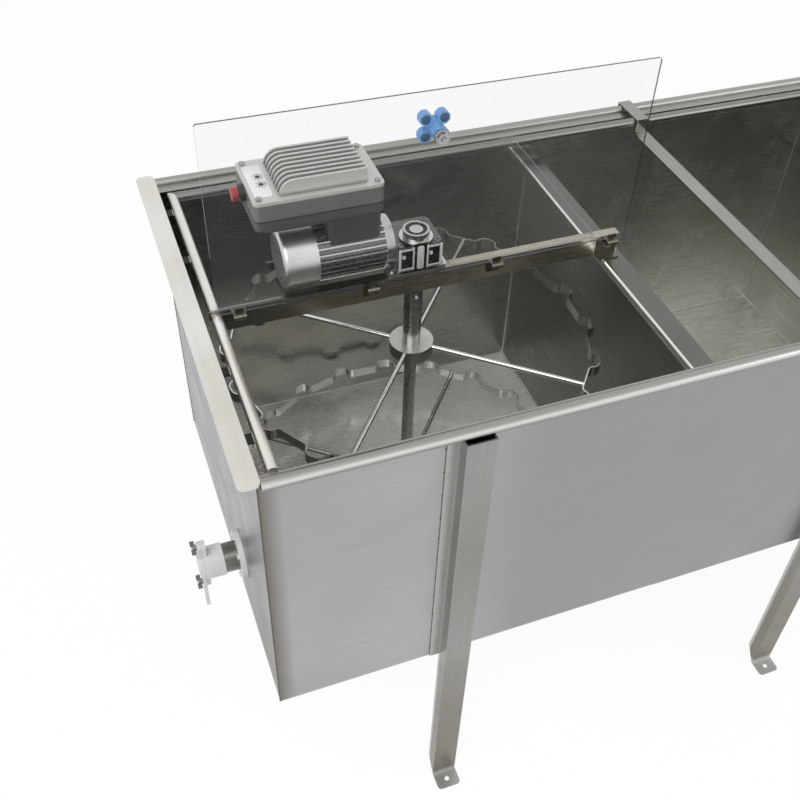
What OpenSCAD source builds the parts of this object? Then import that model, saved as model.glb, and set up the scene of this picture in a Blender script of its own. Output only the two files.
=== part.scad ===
// Uncapping tank with a motor-driven frame reel, splash lid, frame rest and honey gate.
// X runs along the tank, Y from the front wall to the back wall, Z up from the ground.

/* [Tank] */
// Length of the tank over its end walls
tank_l = 1600; // [1500:10:1900]
// Depth of the tank over its front and back walls
tank_w = 800; // [780:5:900]
// Height of the tank from the floor's underside to the rim
tank_h = 668; // [640:1:760]
// Height of the rim above the ground
rim_z = 1150; // [1100:5:1300]
// Thickness of the wall and floor sheet
sheet_t = 2; // [1.5:0.5:3]

/* [Rim] */
// Width of the flat flange along each end wall
flange_w = 36; // [30:1:45]
// Reach of the end flange inside the wall
flange_in = 3; // [2:1:8]
// Overhang of the rolled rim along the front wall
rim_out = 27; // [24:1:34]
// Overhang of the rolled rim along the back wall
back_out = 44; // [24:1:50]
// Radius of the rolled rim
roll_r = 11; // [9:0.5:12]
// Diameter of the ledge tube inside the rim
ledge_d = 20; // [16:1:24]
// Gap between the wall and the ledge tube
ledge_gap = 15; // [10:1:18]
// Drop of the ledge tube's top below the rim
ledge_below = 2; // [1:0.5:3]

/* [Divider] */
// Distance of the divider from the left end
divider_x = 828; // [810:2:900]
// Width of the folded shelf on top of the divider
cap_w = 46; // [40:1:60]
// Drop of the shelf below the ledge tubes
cap_drop = 43; // [38:1:55]

/* [Legs] */
// Distance of each leg's middle from the end of the tank
leg_x = 357; // [250:1:450]
// Width of a leg's front face
leg_w = 54; // [40:1:70]
// Depth of a leg
leg_d = 32; // [25:1:45]
// Sheet thickness of a leg
leg_t = 3; // [2:0.5:4]
// Drop of a leg's top below the rim
leg_drop = 26; // [25:1:40]
// Length of the foot tab
foot_l = 40; // [30:1:60]
// Diameter of the hole in the foot tab
foot_hole = 11; // [8:0.5:14]

/* [Reel] */
// Distance of the reel's axis from the left end
reel_x = 402; // [395:1:420]
// Diameter of the reel's shaft
shaft_d = 25; // [20:1:26]
// Gap between the reel and the walls
reel_gap = 26; // [20:1:60]
// Drop of the upper ring's top below the rim
reel_drop = 168; // [150:1:220]
// Height of the lower ring above the tank's floor
ring_clear = 77; // [60:1:120]
// Height of a ring's strip
strip_h = 22; // [18:1:35]
// Thickness of a ring's strip
strip_t = 2.5; // [2:0.5:4]
// Number of frame pockets in each ring
pockets = 20; // [16:1:24]
// Depth of a frame pocket
pocket_depth = 21; // [18:1:30]
// Diameter of the spokes
spoke_d = 10; // [8:1:14]
// Diameter of the hub drums
hub_d = 87; // [70:1:120]

/* [Drive] */
// Distance of the beam's front face ahead of the shaft's axis
beam_off = 19; // [17:0.5:24]
// Thickness of the beam's sheet
beam_t = 3; // [2:0.5:4]
// Depth of the beam's top flange
beam_flange = 20; // [18:1:30]
// Spacing of the four bolts along the beam
bolt_pitch = 244; // [235:1:247]
// Drop of the bolts below the top of the beam
bolt_drop = 15; // [13:0.5:18]
// Width of the gearbox along the tank
gear_w = 86; // [82:1:96]
// Height of the gearbox
gear_h = 57; // [56:1:70]
// Number of teeth on the worm wheel
wheel_teeth = 30; // [28:1:32]
// Radius of the motor body under its fins
motor_r = 46; // [44:1:47]
// Length of the motor body
motor_l = 131; // [115:1:150]
// Radius of the fan cover
fan_r = 54; // [52:1:56]
// Length of the fan cover
fan_l = 64; // [56:1:90]

/* [Inverter] */
// Length of the inverter box
inv_l = 226; // [210:1:260]
// Depth of the inverter box
inv_w = 136; // [120:1:142]
// Height of the inverter's tray
tray_h = 34; // [30:1:50]
// Height of the inverter's cover over its fins
cover_h = 62; // [50:1:70]
// Number of cooling fins on the cover
fins = 9; // [4:1:10]
// Travel of the stop button
button_stroke = 4; // [2:0.5:5]

/* [Lid] */
// Thickness of the clear lid and cover sheets
clear_t = 4; // [3:0.5:5]
// Height of the lid's top edge above the rim when open
lid_h = 366; // [300:1:370]
// Corner radius of the lid
lid_r = 5; // [3:1:30]
// Drop of the lid knob below the lid's top edge
knob_drop = 84; // [60:1:95]
// Distance of the hinge axis ahead of the beam
hinge_off = 18; // [17:0.5:20]

/* [Frame rest] */
// Distance of the frame rest from the divider
rest_x = 262; // [200:2:400]
// Width of the frame rest's bar
rest_w = 35; // [26:1:45]

/* [Honey gate] */
// Distance of the gate's axis from the front wall
valve_y = 262; // [150:1:320]
// Height of the gate's axis above the tank's floor
valve_z = 144; // [130:1:170]
// Diameter of the gate's bore
valve_bore = 48; // [40:1:50]
// Length of the steel nipple
nipple_l = 28; // [25:1:60]

/* [Hidden] */
// Overrun of every cut past the face it opens
over = 1;
// Gap between two bodies that pass each other
gap = 0.3;
// Gap at a seat between two pieces of one body
seat = 0.05;
// Radial clearance of a running shaft
run = 0.05;
// Facets of a large round, a middle round and a small round
fine = 96;
mid = 48;
small = 24;

// Heights and places that the pieces share
floor_z = rim_z - tank_h;
floor_top = floor_z + sheet_t;
mid_y = tank_w / 2;
ledge_top = rim_z - ledge_below;
ledge_z = ledge_top - ledge_d / 2;
ledge_mid = sheet_t + ledge_gap + ledge_d / 2;
ledge_in = sheet_t + ledge_gap + ledge_d;
cap_z = ledge_top - cap_drop;
cap_x1 = divider_x + sheet_t;
cap_x0 = cap_x1 - cap_w;

// Rim roll, end flange and ledge tube
rim_plate_t = 2;
roll_z = ledge_top - roll_r;
wall_top = roll_z - rim_plate_t / 2;
roll_t = 2;
flange_t = 4;
flange_round = 12;
flange_out = flange_w - flange_in;
flange_over = 2;
ledge_t = 1.5;
ledge_arm_t = 2;
ledge_arm_w = 22;
ledge_arm_shares = [0.1, 0.3, 0.7, 0.9];
cap_nose_r = 7;
cap_lip = 9;

// Legs
foot_round = 9;
foot_share = 0.5;
leg_flange = 21;
leg_cut = 45;
weld_d = 9;
weld_t = 0.6;
weld_shares = [0.12, 0.37, 0.62, 0.87];

// Reel
ring_r = min(mid_y, reel_x, divider_x - reel_x) - sheet_t - reel_gap;
ring_base = ring_r - pocket_depth;
upper_z = rim_z - reel_drop - strip_h;
lower_z = floor_top + ring_clear;
pitch_a = 360 / pockets;
pocket_turn = 6;
pocket_w = 56;
pocket_mouth = 40;
spoke_slots = [-3, 2, 7, 12];
hub_t = 14;
hub_boss_t = 12;
sleeve_r = 18;
sleeve_top_drop = 4;
screw_r = 4;
screw_out = 5;
bearing_flange_r = 48;
bearing_flange_t = 8;
bearing_boss_r = 27;
bearing_boss_h = 32;
shaft_foot = 10;

// Beam and its fittings
beam_y = mid_y - beam_off;
beam_x0 = ledge_in + over;
beam_end = 6;
beam_x1 = cap_x1 - beam_end;
bolt_mid = (beam_x0 + beam_x1) / 2;
bolt_xs = [for (k = [-3, -1, 1, 3]) bolt_mid + k * bolt_pitch / 2];
bolt_z = ledge_top - bolt_drop;
bolt_d = 8;
bolt_hole = 8.4;
head_af_r = 7.5;
head_t = 5.5;
washer_r = 8.5;
washer_t = 1.6;
nut_t = 6.5;
hook_t = 3;
hook_w = 26;
hook_h = 22;
hook_rise = 5;
hook_tip = 12;
tab_w = 42;
tab_h = 38;
tab_foot = 20;

// Gearbox, from its output axis
plate_t = 8;
plate_w = 116;
plate_round = 10;
boss_in = 3;
boss_t = 7;
gear_front = 27;
gear_z = ledge_top + plate_t + boss_t;
gear_round = 12;
gear_half = gear_w / 2;
module_m = 1.5;
wheel_r = wheel_teeth * module_m / 2;
worm_r = 8.5;
gear_a = wheel_r + worm_r;
gear_back = gear_a + gear_front;
axis_y = mid_y + gear_a;
axis_rise = 37;
axis_z = gear_z + axis_rise;
tooth_out = 1;
tooth_in = 1.6;
tooth_shares = [0.13, 0.25];
wheel_face = 5;
wheel_hub_r = 18;
wheel_gap = 6;
worm_len = 34;
worm_lead = 3.14159265 * module_m;
worm_turn = -360 * worm_len / worm_lead;
worm_slices = 102;
worm_amp = 1.1;
worm_root = 7.6;
journal_r = 5;
brg_out_r = 21;
brg_out_t = 9;
brg_end_r = 11;
brg_end_t = 6;
brg_motor_r = 17.5;
brg_motor_t = 11;
rotor_shaft_r = 7.5;
gear_floor = 3;
top_ring_r = 24.5;
top_ring_t = 14;
seal_r = 20;
seal_t = 5;
seal_in = 3;
shaft_in = 1;
pocket_rib = 7;
pocket_in = 4;
pocket_at = 26;
pocket_half = 11;
gear_boss_h = 5;
gear_boss_r = 31;
gear_bolt_a = [20, 70, 110, 160];
gear_bolt_r = 27;
m6 = 6;
m6_hole = 6.4;
m6_head_r = 5;
m6_head_t = 5;
m6_grip = 14;
plate_bolt_in = 10;
plate_bolt_y = 9;

// Motor along X, from the gearbox face to the fan cover's end
face_x = reel_x - gear_half;
shield_l = 16;
shield_x0 = face_x - shield_l;
body_x0 = shield_x0 - motor_l;
fan_lap = 5;
fan_x0 = body_x0 + fan_lap - fan_l;
fan_t = 1.5;
fan_round = 9;
fan_hole_r = 3;
fan_rows = [1, 2, 3, 4];
fan_row_step = 10;
fan_row_count = 7;
fin_n = 28;
fin_t = 2.4;
fin_h = 6;
stator_in = 29;
stator_l = 70;
stator_wall = 4;
rotor_r = 28.5;
rear_wall = 12;
blade_n = 9;
blade_t = 2;
blade_l = 24;
blade_r = 44;
blade_hub_r = 14;

// Inverter, placed over the motor
inv_gap = 9;
inv_shift = 13;
neck_gap = 8;
inv_x1 = shield_x0 - inv_gap;
inv_x0 = inv_x1 - inv_l;
inv_y0 = axis_y + inv_shift - inv_w / 2;
neck_x1 = shield_x0 - neck_gap;
neck_l = 96;
neck_w = 74;
neck_rise = 33;
neck_top = axis_z + motor_r + fin_h + neck_rise;
tray_z = neck_top;
tray_step = 16;
tray_inset = 16;
inv_wall = 4;
inv_round = 10;
cover_z = tray_z + tray_h;
cover_plate = 36;
fin_x_in = 14;
fin_run = 165;
fin_cover_t = 5;
fin_edge = 14;
cover_boss_r = 8;
cover_boss_in = 11;
board_t = 1.6;
board_in = 9;
board_post = 6;
board_post_r = 4;
cap_can_r = 11;
cap_can_h = 30;
board_block_h = 18;
button_shift = 15;
button_y = axis_y + button_shift;
button_z = cover_z + cover_plate / 2;
collar_r = 15;
collar_l = 9;
stem_r = 8;
stem_in = 10;
head_r = 12;
head_l = 9;

// Lid and rear cover
hinge_y = beam_y - hinge_off;
sheet_off = 4;
hinge_z = ledge_top + gap - sheet_off;
lid_y0 = hinge_y + sheet_off;
lid_low = 7;
lid_top = rim_z + lid_h;
lid_x0 = ledge_mid;
lid_end = 4;
lid_x1 = cap_x1 - lid_end;
eye_r = 5.5;
pin_r = 2.5;
eye_mid = 10;
eye_side = 6;
eye_arm = 4;
strap_t = 2;
strap_w = 16;
strap_h = 10;
bracket_w = 26;
bracket_low = 24;
knob_x = (lid_x0 + lid_x1) / 2;
knob_z = lid_top - knob_drop;
knob_lobe_r = 12;
knob_lobe_at = 22;
knob_lobe_n = 8;
knob_t = 16;
knob_hub_r = 12;
knob_hub_t = 26;
knob_bore = 20;
knob_turn = 45;
knob_web = 3;
stud_r = 5;
stud_out = 16;
knob_nut_r = 10;
knob_nut_t = 8;
knob_ring_r = 12;
knob_ring_t = 4;
stud_hole = 5.4;
cover_gap = 13;
cover_lap = 10;
cover_x0 = ledge_mid - cover_lap;
cover_x1 = cap_x0 - cover_gap;
cover_y0 = beam_y + 2 * beam_t;
cover_y1 = tank_w - ledge_mid + cover_lap;
notch_gap = 8;

// Frame rest
rest_mid = cap_x1 + rest_x;
strap_rest_w = 30;
rest_strap_t = 2;
rest_z = ledge_top + gap;
rest_gap = 3;
rest_in = ledge_in + rest_gap;
rest_lip = 14;
rest_leg = 32;
rest_ridge = 14;
rest_bar_t = 2.5;
rest_bar_z = rest_z - rest_leg;

// Honey gate, along -X from the left wall
gate_z = floor_z + valve_z;
bore_r = valve_bore / 2;
vf_r = 50;
vf_t = 10;
vf_bolt_r = 40;
vf_bolts = 4;
vf_bolt_turn = 45;
vf_head_r = 5;
vf_head_t = 4;
nipple_wall = 6;
nipple_x = -vf_t;
vb_wall = 9;
vb_l = 40;
vb_x = nipple_x - nipple_l;
vb_face = vb_x - vb_l;
ear_r = 11;
ear_out = 31;
ear_at = bore_r + ear_out;
ear_t = 9;
gate_t = 7;
gate_lap = 9;
gate_r = bore_r + gate_lap;
gate_dome = 3;
gate_dome_r = 22;
handle_w = 15;
handle_l = 62;
handle_round = 7.5;
gate_stud_r = 3;
stud_len = 18;
wing_hub_r = 6;
wing_hub_t = 8;
wing_t = 2.5;
wing_w = 12;
wing_h = 11;
wing_low = 2;
wing_x = vb_face - gap - gate_t - gap;
slot_a = 30;

// Lid switch
switch_x = 48;
switch_w = 34;
switch_d = 12;
switch_h = 24;
switch_drop = 14;
lead_in = 1;
lead_bend = 13;
lead_r = 2.2;

// Moves the tank's front left corner so that the origin is midway between the feet
module place() {
    translate([-tank_l / 2, -tank_w / 2, 0]) children();
}

// Flat rectangle with four round corners
module rounded(w, d, r) {
    translate([r, 0]) square([w - 2 * r, d]);
    translate([0, r]) square([w, d - 2 * r]);
    for (x = [r, w - r], y = [r, d - r])
        translate([x, y]) circle(r, $fn = mid);
}

// Lays a profile drawn in Y and Z along X
module along_x(x0, x1) {
    translate([x0, 0, 0]) rotate([90, 0, 90]) linear_extrude(x1 - x0) children();
}

// Lays a profile drawn in X and Z along Y
module along_y(y0, y1) {
    translate([0, y1, 0]) rotate([90, 0, 0]) linear_extrude(y1 - y0) children();
}

// Round bar along X
module bar_x(x0, x1, r, n = mid) {
    translate([x0, 0, 0]) rotate([0, 90, 0]) cylinder(h = x1 - x0, r = r, $fn = n);
}

// Ring along X
module ring_x(x0, x1, r, r_in, n = mid) {
    difference() {
        bar_x(x0, x1, r, n);
        bar_x(x0 - over, x1 + over, r_in, n);
    }
}

// Ring along Z
module ring_z(h, r, r_in, n = mid) {
    difference() {
        cylinder(h = h, r = r, $fn = n);
        translate([0, 0, -over]) cylinder(h = h + 2 * over, r = r_in, $fn = n);
    }
}

// Swaps front for back, or left for right
module to_back() {
    translate([0, tank_w, 0]) mirror([0, 1, 0]) children();
}
module to_right() {
    translate([tank_l, 0, 0]) mirror([1, 0, 0]) children();
}

// Tank walls
module floor_panel() {
    color("silver") place() translate([0, 0, floor_z]) cube([tank_l, tank_w, sheet_t]);
}

module long_panel() {
    translate([0, 0, floor_top]) cube([tank_l, sheet_t, wall_top - floor_top]);
}

module front_panel() {
    color("silver") place() long_panel();
}

module back_panel() {
    color("silver") place() to_back() long_panel();
}

module end_panel() {
    translate([0, sheet_t, floor_top])
        cube([sheet_t, tank_w - 2 * sheet_t, rim_z - flange_t - floor_top]);
}

module left_panel() {
    color("silver") place() difference() {
        end_panel();
        translate([0, valve_y, gate_z]) bar_x(-over, sheet_t + over, bore_r);
    }
}

module right_panel() {
    color("silver") place() to_right() end_panel();
}

// Rolled rim along a long wall, on a plate that covers the wall's edge
module rim_profile(out) {
    translate([roll_r - out, roll_z]) difference() {
        circle(roll_r, $fn = mid);
        circle(roll_r - roll_t, $fn = mid);
    }
    translate([2 * roll_r - roll_t - out, wall_top])
        square([out + roll_t - 2 * roll_r + sheet_t, rim_plate_t]);
}

module front_rim() {
    color("silver") place() along_x(flange_in, tank_l - flange_in) rim_profile(rim_out);
}

module back_rim() {
    color("silver") place() to_back() along_x(flange_in, tank_l - flange_in) rim_profile(back_out);
}

// Flat flange with round ends along an end wall
module end_flange() {
    translate([-flange_out, -rim_out - flange_over, rim_z - flange_t])
        linear_extrude(flange_t)
            rounded(flange_w, tank_w + rim_out + back_out + 2 * flange_over, flange_round);
}

module left_flange() {
    color("gainsboro") place() end_flange();
}

module right_flange() {
    color("gainsboro") place() to_right() end_flange();
}

// Ledge tube and the short arms that carry it on the wall
module tube_profile() {
    translate([ledge_mid, ledge_z]) difference() {
        circle(ledge_d / 2, $fn = mid);
        circle(ledge_d / 2 - ledge_t, $fn = mid);
    }
}

module arm_profile() {
    difference() {
        translate([sheet_t, ledge_z - ledge_arm_t / 2]) square([ledge_gap + ledge_t, ledge_arm_t]);
        translate([ledge_mid, ledge_z]) circle(ledge_d / 2 - ledge_t, $fn = mid);
    }
}

// Block that mitres the far end of a ledge, and its near end too unless that end is square
module mitre(length, square_end) {
    reach = ledge_in + over;
    near = square_end ? [[sheet_t, reach], [sheet_t, 0]] : [[reach, reach], [0, 0]];
    linear_extrude(rim_z) polygon(concat(near, [[length, 0], [length - reach, reach]]));
}

module ledge(length, square_end) {
    intersection() {
        along_x(0, length) tube_profile();
        mitre(length, square_end);
    }
    for (s = ledge_arm_shares)
        along_x(s * length - ledge_arm_w / 2, s * length + ledge_arm_w / 2) arm_profile();
}

module back_ledge() {
    color("silver") place() to_back() ledge(tank_l, false);
}

module left_ledge() {
    color("silver") place() mirror([1, -1, 0]) ledge(tank_w, true);
}

module right_ledge() {
    color("silver") place() to_right() mirror([1, -1, 0]) ledge(tank_w, true);
}

// Divider and its folded shelf
module divider_panel() {
    color("silver") place() translate([divider_x, sheet_t, floor_top])
        cube([sheet_t, tank_w - 2 * sheet_t, cap_z - sheet_t - floor_top]);
}

module cap_profile() {
    nose_x = cap_x0 + cap_nose_r;
    nose_z = cap_z - cap_nose_r;
    translate([nose_x, cap_z - sheet_t]) square([cap_x1 - nose_x, sheet_t]);
    translate([cap_x0, nose_z - cap_lip]) square([sheet_t, cap_lip]);
    translate([nose_x, nose_z]) intersection() {
        difference() {
            circle(cap_nose_r, $fn = mid);
            circle(cap_nose_r - sheet_t, $fn = mid);
        }
        translate([-cap_nose_r, 0]) square(cap_nose_r);
    }
}

module divider_cap() {
    color("gainsboro") place() along_y(sheet_t, tank_w - sheet_t) cap_profile();
}

// Folded leg with a flange on the wall and a foot tab
module leg() {
    translate([leg_x - leg_w / 2, 0, 0]) {
        difference() {
            union() {
                translate([0, -leg_d, 0]) cube([leg_w, leg_t, rim_z - leg_drop]);
                for (x = [0, leg_w - leg_t])
                    translate([x, -leg_d, 0]) cube([leg_t, leg_d, rim_z - leg_drop]);
                translate([-leg_flange, -leg_t, floor_z])
                    cube([leg_flange + leg_t, leg_t, tank_h - leg_drop]);
                for (s = weld_shares)
                    translate([-leg_flange / 2, 0, floor_z + s * (tank_h - leg_drop)])
                        rotate([90, 0, 0]) cylinder(h = leg_t + weld_t, r = weld_d / 2, $fn = small);
            }
            along_x(-over, leg_w + over)
                polygon([[leg_t - leg_d, -over], [over, -over], [over, leg_cut], [0, leg_cut],
                    [leg_t - leg_d, leg_t]]);
        }
        translate([0, -leg_d - foot_l, 0]) difference() {
            linear_extrude(leg_t) {
                rounded(leg_w, foot_l, foot_round);
                translate([0, foot_round]) square([leg_w, foot_l - foot_round + leg_t]);
            }
            translate([leg_w / 2, foot_l * foot_share, -over])
                cylinder(h = leg_t + 2 * over, r = foot_hole / 2, $fn = mid);
        }
    }
}

module leg_front_left() {
    color("darkgray") place() leg();
}

module leg_front_right() {
    color("darkgray") place() to_right() leg();
}

module leg_back_left() {
    color("darkgray") place() to_back() leg();
}

module leg_back_right() {
    color("darkgray") place() to_right() to_back() leg();
}

// Places a child on each of the named bolts of the beam
module at_bolts(picks) {
    for (k = picks)
        translate([bolt_xs[k], beam_y, bolt_z]) children();
}

module bolt_cut() {
    rotate([-90, 0, 0]) translate([0, 0, -hinge_off])
        cylinder(h = 2 * hinge_off, r = bolt_hole / 2, $fn = small);
}

// Places a child on the two bolts that hold the motor plate to the beam
module at_plate_bolts(z) {
    for (s = [-1, 1])
        translate([reel_x + s * (plate_w / 2 - plate_bolt_in), beam_y + plate_bolt_y, z]) children();
}

// Angle beam that carries the drive, notched for the shaft
module drive_beam() {
    color("dimgray") place() difference() {
        union() {
            translate([beam_x0, beam_y, cap_z]) cube([beam_x1 - beam_x0, beam_t, ledge_top - cap_z]);
            translate([beam_x0, beam_y, ledge_top - beam_t])
                cube([beam_x1 - beam_x0, beam_flange, beam_t]);
        }
        at_bolts([0, 1, 2, 3]) bolt_cut();
        translate([reel_x, mid_y, ledge_top - beam_t - over])
            cylinder(h = beam_t + 2 * over, r = shaft_d / 2 + over, $fn = mid);
        at_plate_bolts(cap_z) cylinder(h = cap_drop + over, r = m6_hole / 2, $fn = small);
    }
}

// Hook over the left ledge tube and end tab on the divider's shelf
module beam_brackets() {
    color("dimgray") place() difference() {
        union() {
            translate([beam_x0, beam_y - hook_t, ledge_top - hook_h])
                cube([bolt_xs[0] - beam_x0 + hook_w / 2, hook_t, hook_h]);
            translate([ledge_mid - ledge_d / 2 - hook_t - gap, beam_y - hook_t, ledge_top])
                cube([bolt_xs[0] - ledge_mid, hook_t, hook_rise]);
            translate([ledge_mid - ledge_d / 2 - hook_t - gap, beam_y - hook_t, ledge_top - hook_tip])
                cube([hook_t, hook_t, hook_tip]);
            translate([bolt_xs[3] - tab_w / 2, beam_y - hook_t, cap_z]) cube([tab_w, hook_t, tab_h]);
            translate([bolt_xs[3] - tab_w / 2, beam_y - tab_foot, cap_z]) cube([tab_w, tab_foot, hook_t]);
        }
        at_bolts([0, 3]) bolt_cut();
    }
}

// Bolt along Y with a head in front, washers and a nut behind
module beam_bolt() {
    back = beam_t + washer_t;
    rotate([-90, 0, 0]) {
        translate([0, 0, -hook_t - washer_t - head_t]) cylinder(h = head_t, r = head_af_r, $fn = 6);
        translate([0, 0, -hook_t - washer_t]) cylinder(h = washer_t, r = washer_r, $fn = small);
        translate([0, 0, -hook_t - washer_t])
            cylinder(h = hook_t + back + nut_t, r = bolt_d / 2, $fn = small);
        translate([0, 0, beam_t]) cylinder(h = back - beam_t, r = washer_r, $fn = small);
        translate([0, 0, back]) cylinder(h = nut_t, r = head_af_r, $fn = 6);
    }
}

// Screw along Z, with its head's seat at the origin and its shank downwards
module screw_down(grip) {
    cylinder(h = m6_head_t, r = m6_head_r, $fn = small);
    translate([0, 0, -grip]) cylinder(h = grip, r = m6 / 2, $fn = small);
}

module drive_fasteners() {
    color("lightgray") place() {
        at_bolts([0, 1, 2, 3]) beam_bolt();
        at_plate_bolts(ledge_top + plate_t) screw_down(plate_t + beam_t + m6);
        for (a = gear_bolt_a)
            translate([reel_x + gear_bolt_r * cos(a), mid_y + gear_bolt_r * sin(a), ledge_top])
                mirror([0, 0, 1]) screw_down(m6_grip);
        for (x = [inv_x0 + cover_boss_in, inv_x1 - cover_boss_in],
            y = [inv_y0 + cover_boss_in, inv_y0 + inv_w - cover_boss_in])
            translate([x, y, cover_z + cover_plate]) screw_down(cover_plate + m6);
    }
}

module motor_plate() {
    color("silver") place() difference() {
        translate([reel_x - plate_w / 2, beam_y, ledge_top]) linear_extrude(plate_t)
            rounded(plate_w, beam_off + gear_back, plate_round);
        translate([reel_x, mid_y, ledge_top - over])
            cylinder(h = plate_t + 2 * over, r = shaft_d / 2 + over, $fn = mid);
        at_plate_bolts(ledge_top - over) cylinder(h = plate_t + 2 * over, r = m6_hole / 2, $fn = small);
        translate([0, axis_y, axis_z]) bar_x(fan_x0, face_x + gap, motor_r + fin_h + over, fine);
        gear_bolt_holes();
    }
}

module gear_bolt_holes() {
    for (a = gear_bolt_a)
        translate([reel_x + gear_bolt_r * cos(a), mid_y + gear_bolt_r * sin(a), ledge_top - over])
            cylinder(h = m6_grip + over, r = m6_hole / 2, $fn = small);
}

// Worm gearbox with two front pockets and a low round boss on top
module gear_housing() {
    front = mid_y - gear_front;
    block_h = gear_h - gear_boss_h;
    color("lightgray") place() difference() {
        union() {
            translate([reel_x - gear_half, front, gear_z]) linear_extrude(block_h)
                rounded(gear_w, gear_front + gear_back, gear_round);
            translate([reel_x - gear_half + boss_in, front + boss_in, gear_z - boss_t])
                linear_extrude(boss_t)
                    rounded(gear_w - 2 * boss_in, gear_front + gear_back - 2 * boss_in, gear_round);
            translate([reel_x, mid_y, gear_z]) intersection() {
                cylinder(h = gear_h, r = gear_boss_r, $fn = fine);
                translate([-gear_half, -gear_front, 0]) cube([gear_w, gear_front + gear_back, gear_h]);
            }
        }
        for (x = [-pocket_at, pocket_at])
            translate([reel_x + x - pocket_half, front - over, gear_z + pocket_rib])
                cube([2 * pocket_half, pocket_in + over, block_h - 2 * pocket_rib]);
        translate([reel_x, mid_y, gear_z - boss_t - over])
            cylinder(h = gear_h, r = shaft_d / 2 + over, $fn = mid);
        translate([reel_x, mid_y, gear_z + gear_floor])
            cylinder(h = gear_h, r = brg_out_r + seat, $fn = mid);
        translate([reel_x, mid_y, axis_z - wheel_gap])
            cylinder(h = 2 * wheel_gap, r = wheel_r + 2 * tooth_in, $fn = mid);
        translate([reel_x, axis_y, axis_z]) {
            bar_x(-gear_half - over, worm_len, worm_r + 2 * tooth_in);
            bar_x(0, gear_half - gear_floor, brg_end_r + seat);
        }
        gear_bolt_holes();
    }
}

// Top ring of the gearbox and the shaft seal sunk in it
module gear_cover() {
    color("lightgray") place() translate([reel_x, mid_y, gear_z + gear_h])
        ring_z(top_ring_t, top_ring_r, seal_r + seat, fine);
}

module shaft_seal() {
    color("black") place() translate([reel_x, mid_y, gear_z + gear_h + top_ring_t - seal_in - seal_t])
        ring_z(seal_t, seal_r, shaft_d / 2 + run, fine);
}

// Worm wheel, with teeth drawn as a polygon
function tooth_points() = [for (k = [0 : wheel_teeth - 1])
    for (p = [[-tooth_shares[1], -tooth_in], [-tooth_shares[0], tooth_out],
        [tooth_shares[0], tooth_out], [tooth_shares[1], -tooth_in]])
        let (a = 360 * (k + p[0]) / wheel_teeth, r = wheel_r + p[1])
            [r * sin(a), r * cos(a)]];

module worm_wheel() {
    color("goldenrod") place() translate([reel_x, mid_y, 0]) difference() {
        union() {
            translate([0, 0, axis_z - wheel_face / 2]) linear_extrude(wheel_face) polygon(tooth_points());
            translate([0, 0, gear_z + gear_floor + brg_out_t + seat])
                cylinder(h = gear_h - gear_floor - 2 * brg_out_t - 2 * seat, r = wheel_hub_r, $fn = mid);
        }
        translate([0, 0, gear_z]) cylinder(h = gear_h, r = shaft_d / 2 + seat, $fn = mid);
    }
}

// Worm with one start, drawn as an off-centre round that turns along the axis
module worm() {
    color("gray") place() translate([reel_x, axis_y, axis_z]) {
        rotate([0, 90, 0]) linear_extrude(worm_len, twist = worm_turn, slices = worm_slices, center = true)
            rotate(worm_turn / 2) translate([0, worm_amp]) circle(worm_root, $fn = small);
        bar_x(-gear_half, -worm_len / 2, rotor_shaft_r);
        bar_x(worm_len / 2, gear_half - gear_floor - over, journal_r);
    }
}

// Rolling bearings of the gearbox and the motor
module drive_bearings() {
    color("silver") place() {
        for (z = [gear_z + gear_floor, gear_z + gear_h - brg_out_t])
            translate([reel_x, mid_y, z]) ring_z(brg_out_t, brg_out_r, shaft_d / 2 + run);
        translate([reel_x + gear_half - gear_floor - brg_end_t, axis_y, axis_z])
            ring_x(0, brg_end_t, brg_end_r, journal_r + run);
        for (x = [shield_x0, body_x0 + rear_wall - brg_motor_t])
            translate([x, axis_y, axis_z]) ring_x(0, brg_motor_t, brg_motor_r, rotor_shaft_r + run);
    }
}

// Finned motor body with a rear wall
module motor_body() {
    color("lightgray") place() translate([body_x0, axis_y, axis_z]) difference() {
        union() {
            bar_x(0, fan_lap, fan_r - fan_t - seat, fine);
            along_x(fan_lap, motor_l) fin_profile();
        }
        bar_x(rear_wall, motor_l + over, motor_r - stator_wall, fine);
        bar_x(-over, motor_l, brg_motor_r + seat);
    }
}

// Round with fins that start inside it
module fin_profile() {
    circle(motor_r, $fn = fine);
    for (k = [0 : fin_n - 1])
        rotate(360 * k / fin_n) translate([motor_r - fin_h, -fin_t / 2]) square([2 * fin_h, fin_t]);
}

module end_shield() {
    color("lightgray") place() translate([shield_x0, axis_y, axis_z]) difference() {
        bar_x(0, shield_l, motor_r, fine);
        bar_x(-over, brg_motor_t, brg_motor_r + seat);
        bar_x(0, shield_l + over, rotor_shaft_r + over);
    }
}

// Polished cup over the fan, perforated at its end
module fan_cover() {
    color("white") place() translate([fan_x0, axis_y, axis_z]) difference() {
        rotate([0, 90, 0]) rotate_extrude($fn = fine) cup_profile();
        for (row = fan_rows, k = [0 : fan_row_count * row - 1])
            rotate([360 * k / (fan_row_count * row), 0, 0]) translate([0, row * fan_row_step, 0])
                bar_x(-over, fan_t + over, fan_hole_r, small);
    }
}

module cup_profile() {
    difference() {
        cup_outline(fan_r, 0, fan_round);
        cup_outline(fan_r - fan_t, fan_t, fan_round - fan_t);
    }
}

module cup_outline(r, low, round_r) {
    translate([0, low]) square([r - round_r, fan_l]);
    translate([0, low + round_r]) square([r, fan_l - round_r]);
    translate([r - round_r, low + round_r]) intersection() {
        circle(round_r, $fn = mid);
        translate([0, -round_r]) square(round_r);
    }
}

module cooling_fan() {
    color("black") place() translate([body_x0 - blade_l - fan_lap, axis_y, axis_z]) along_x(0, blade_l)
        blade_profile();
}

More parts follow.
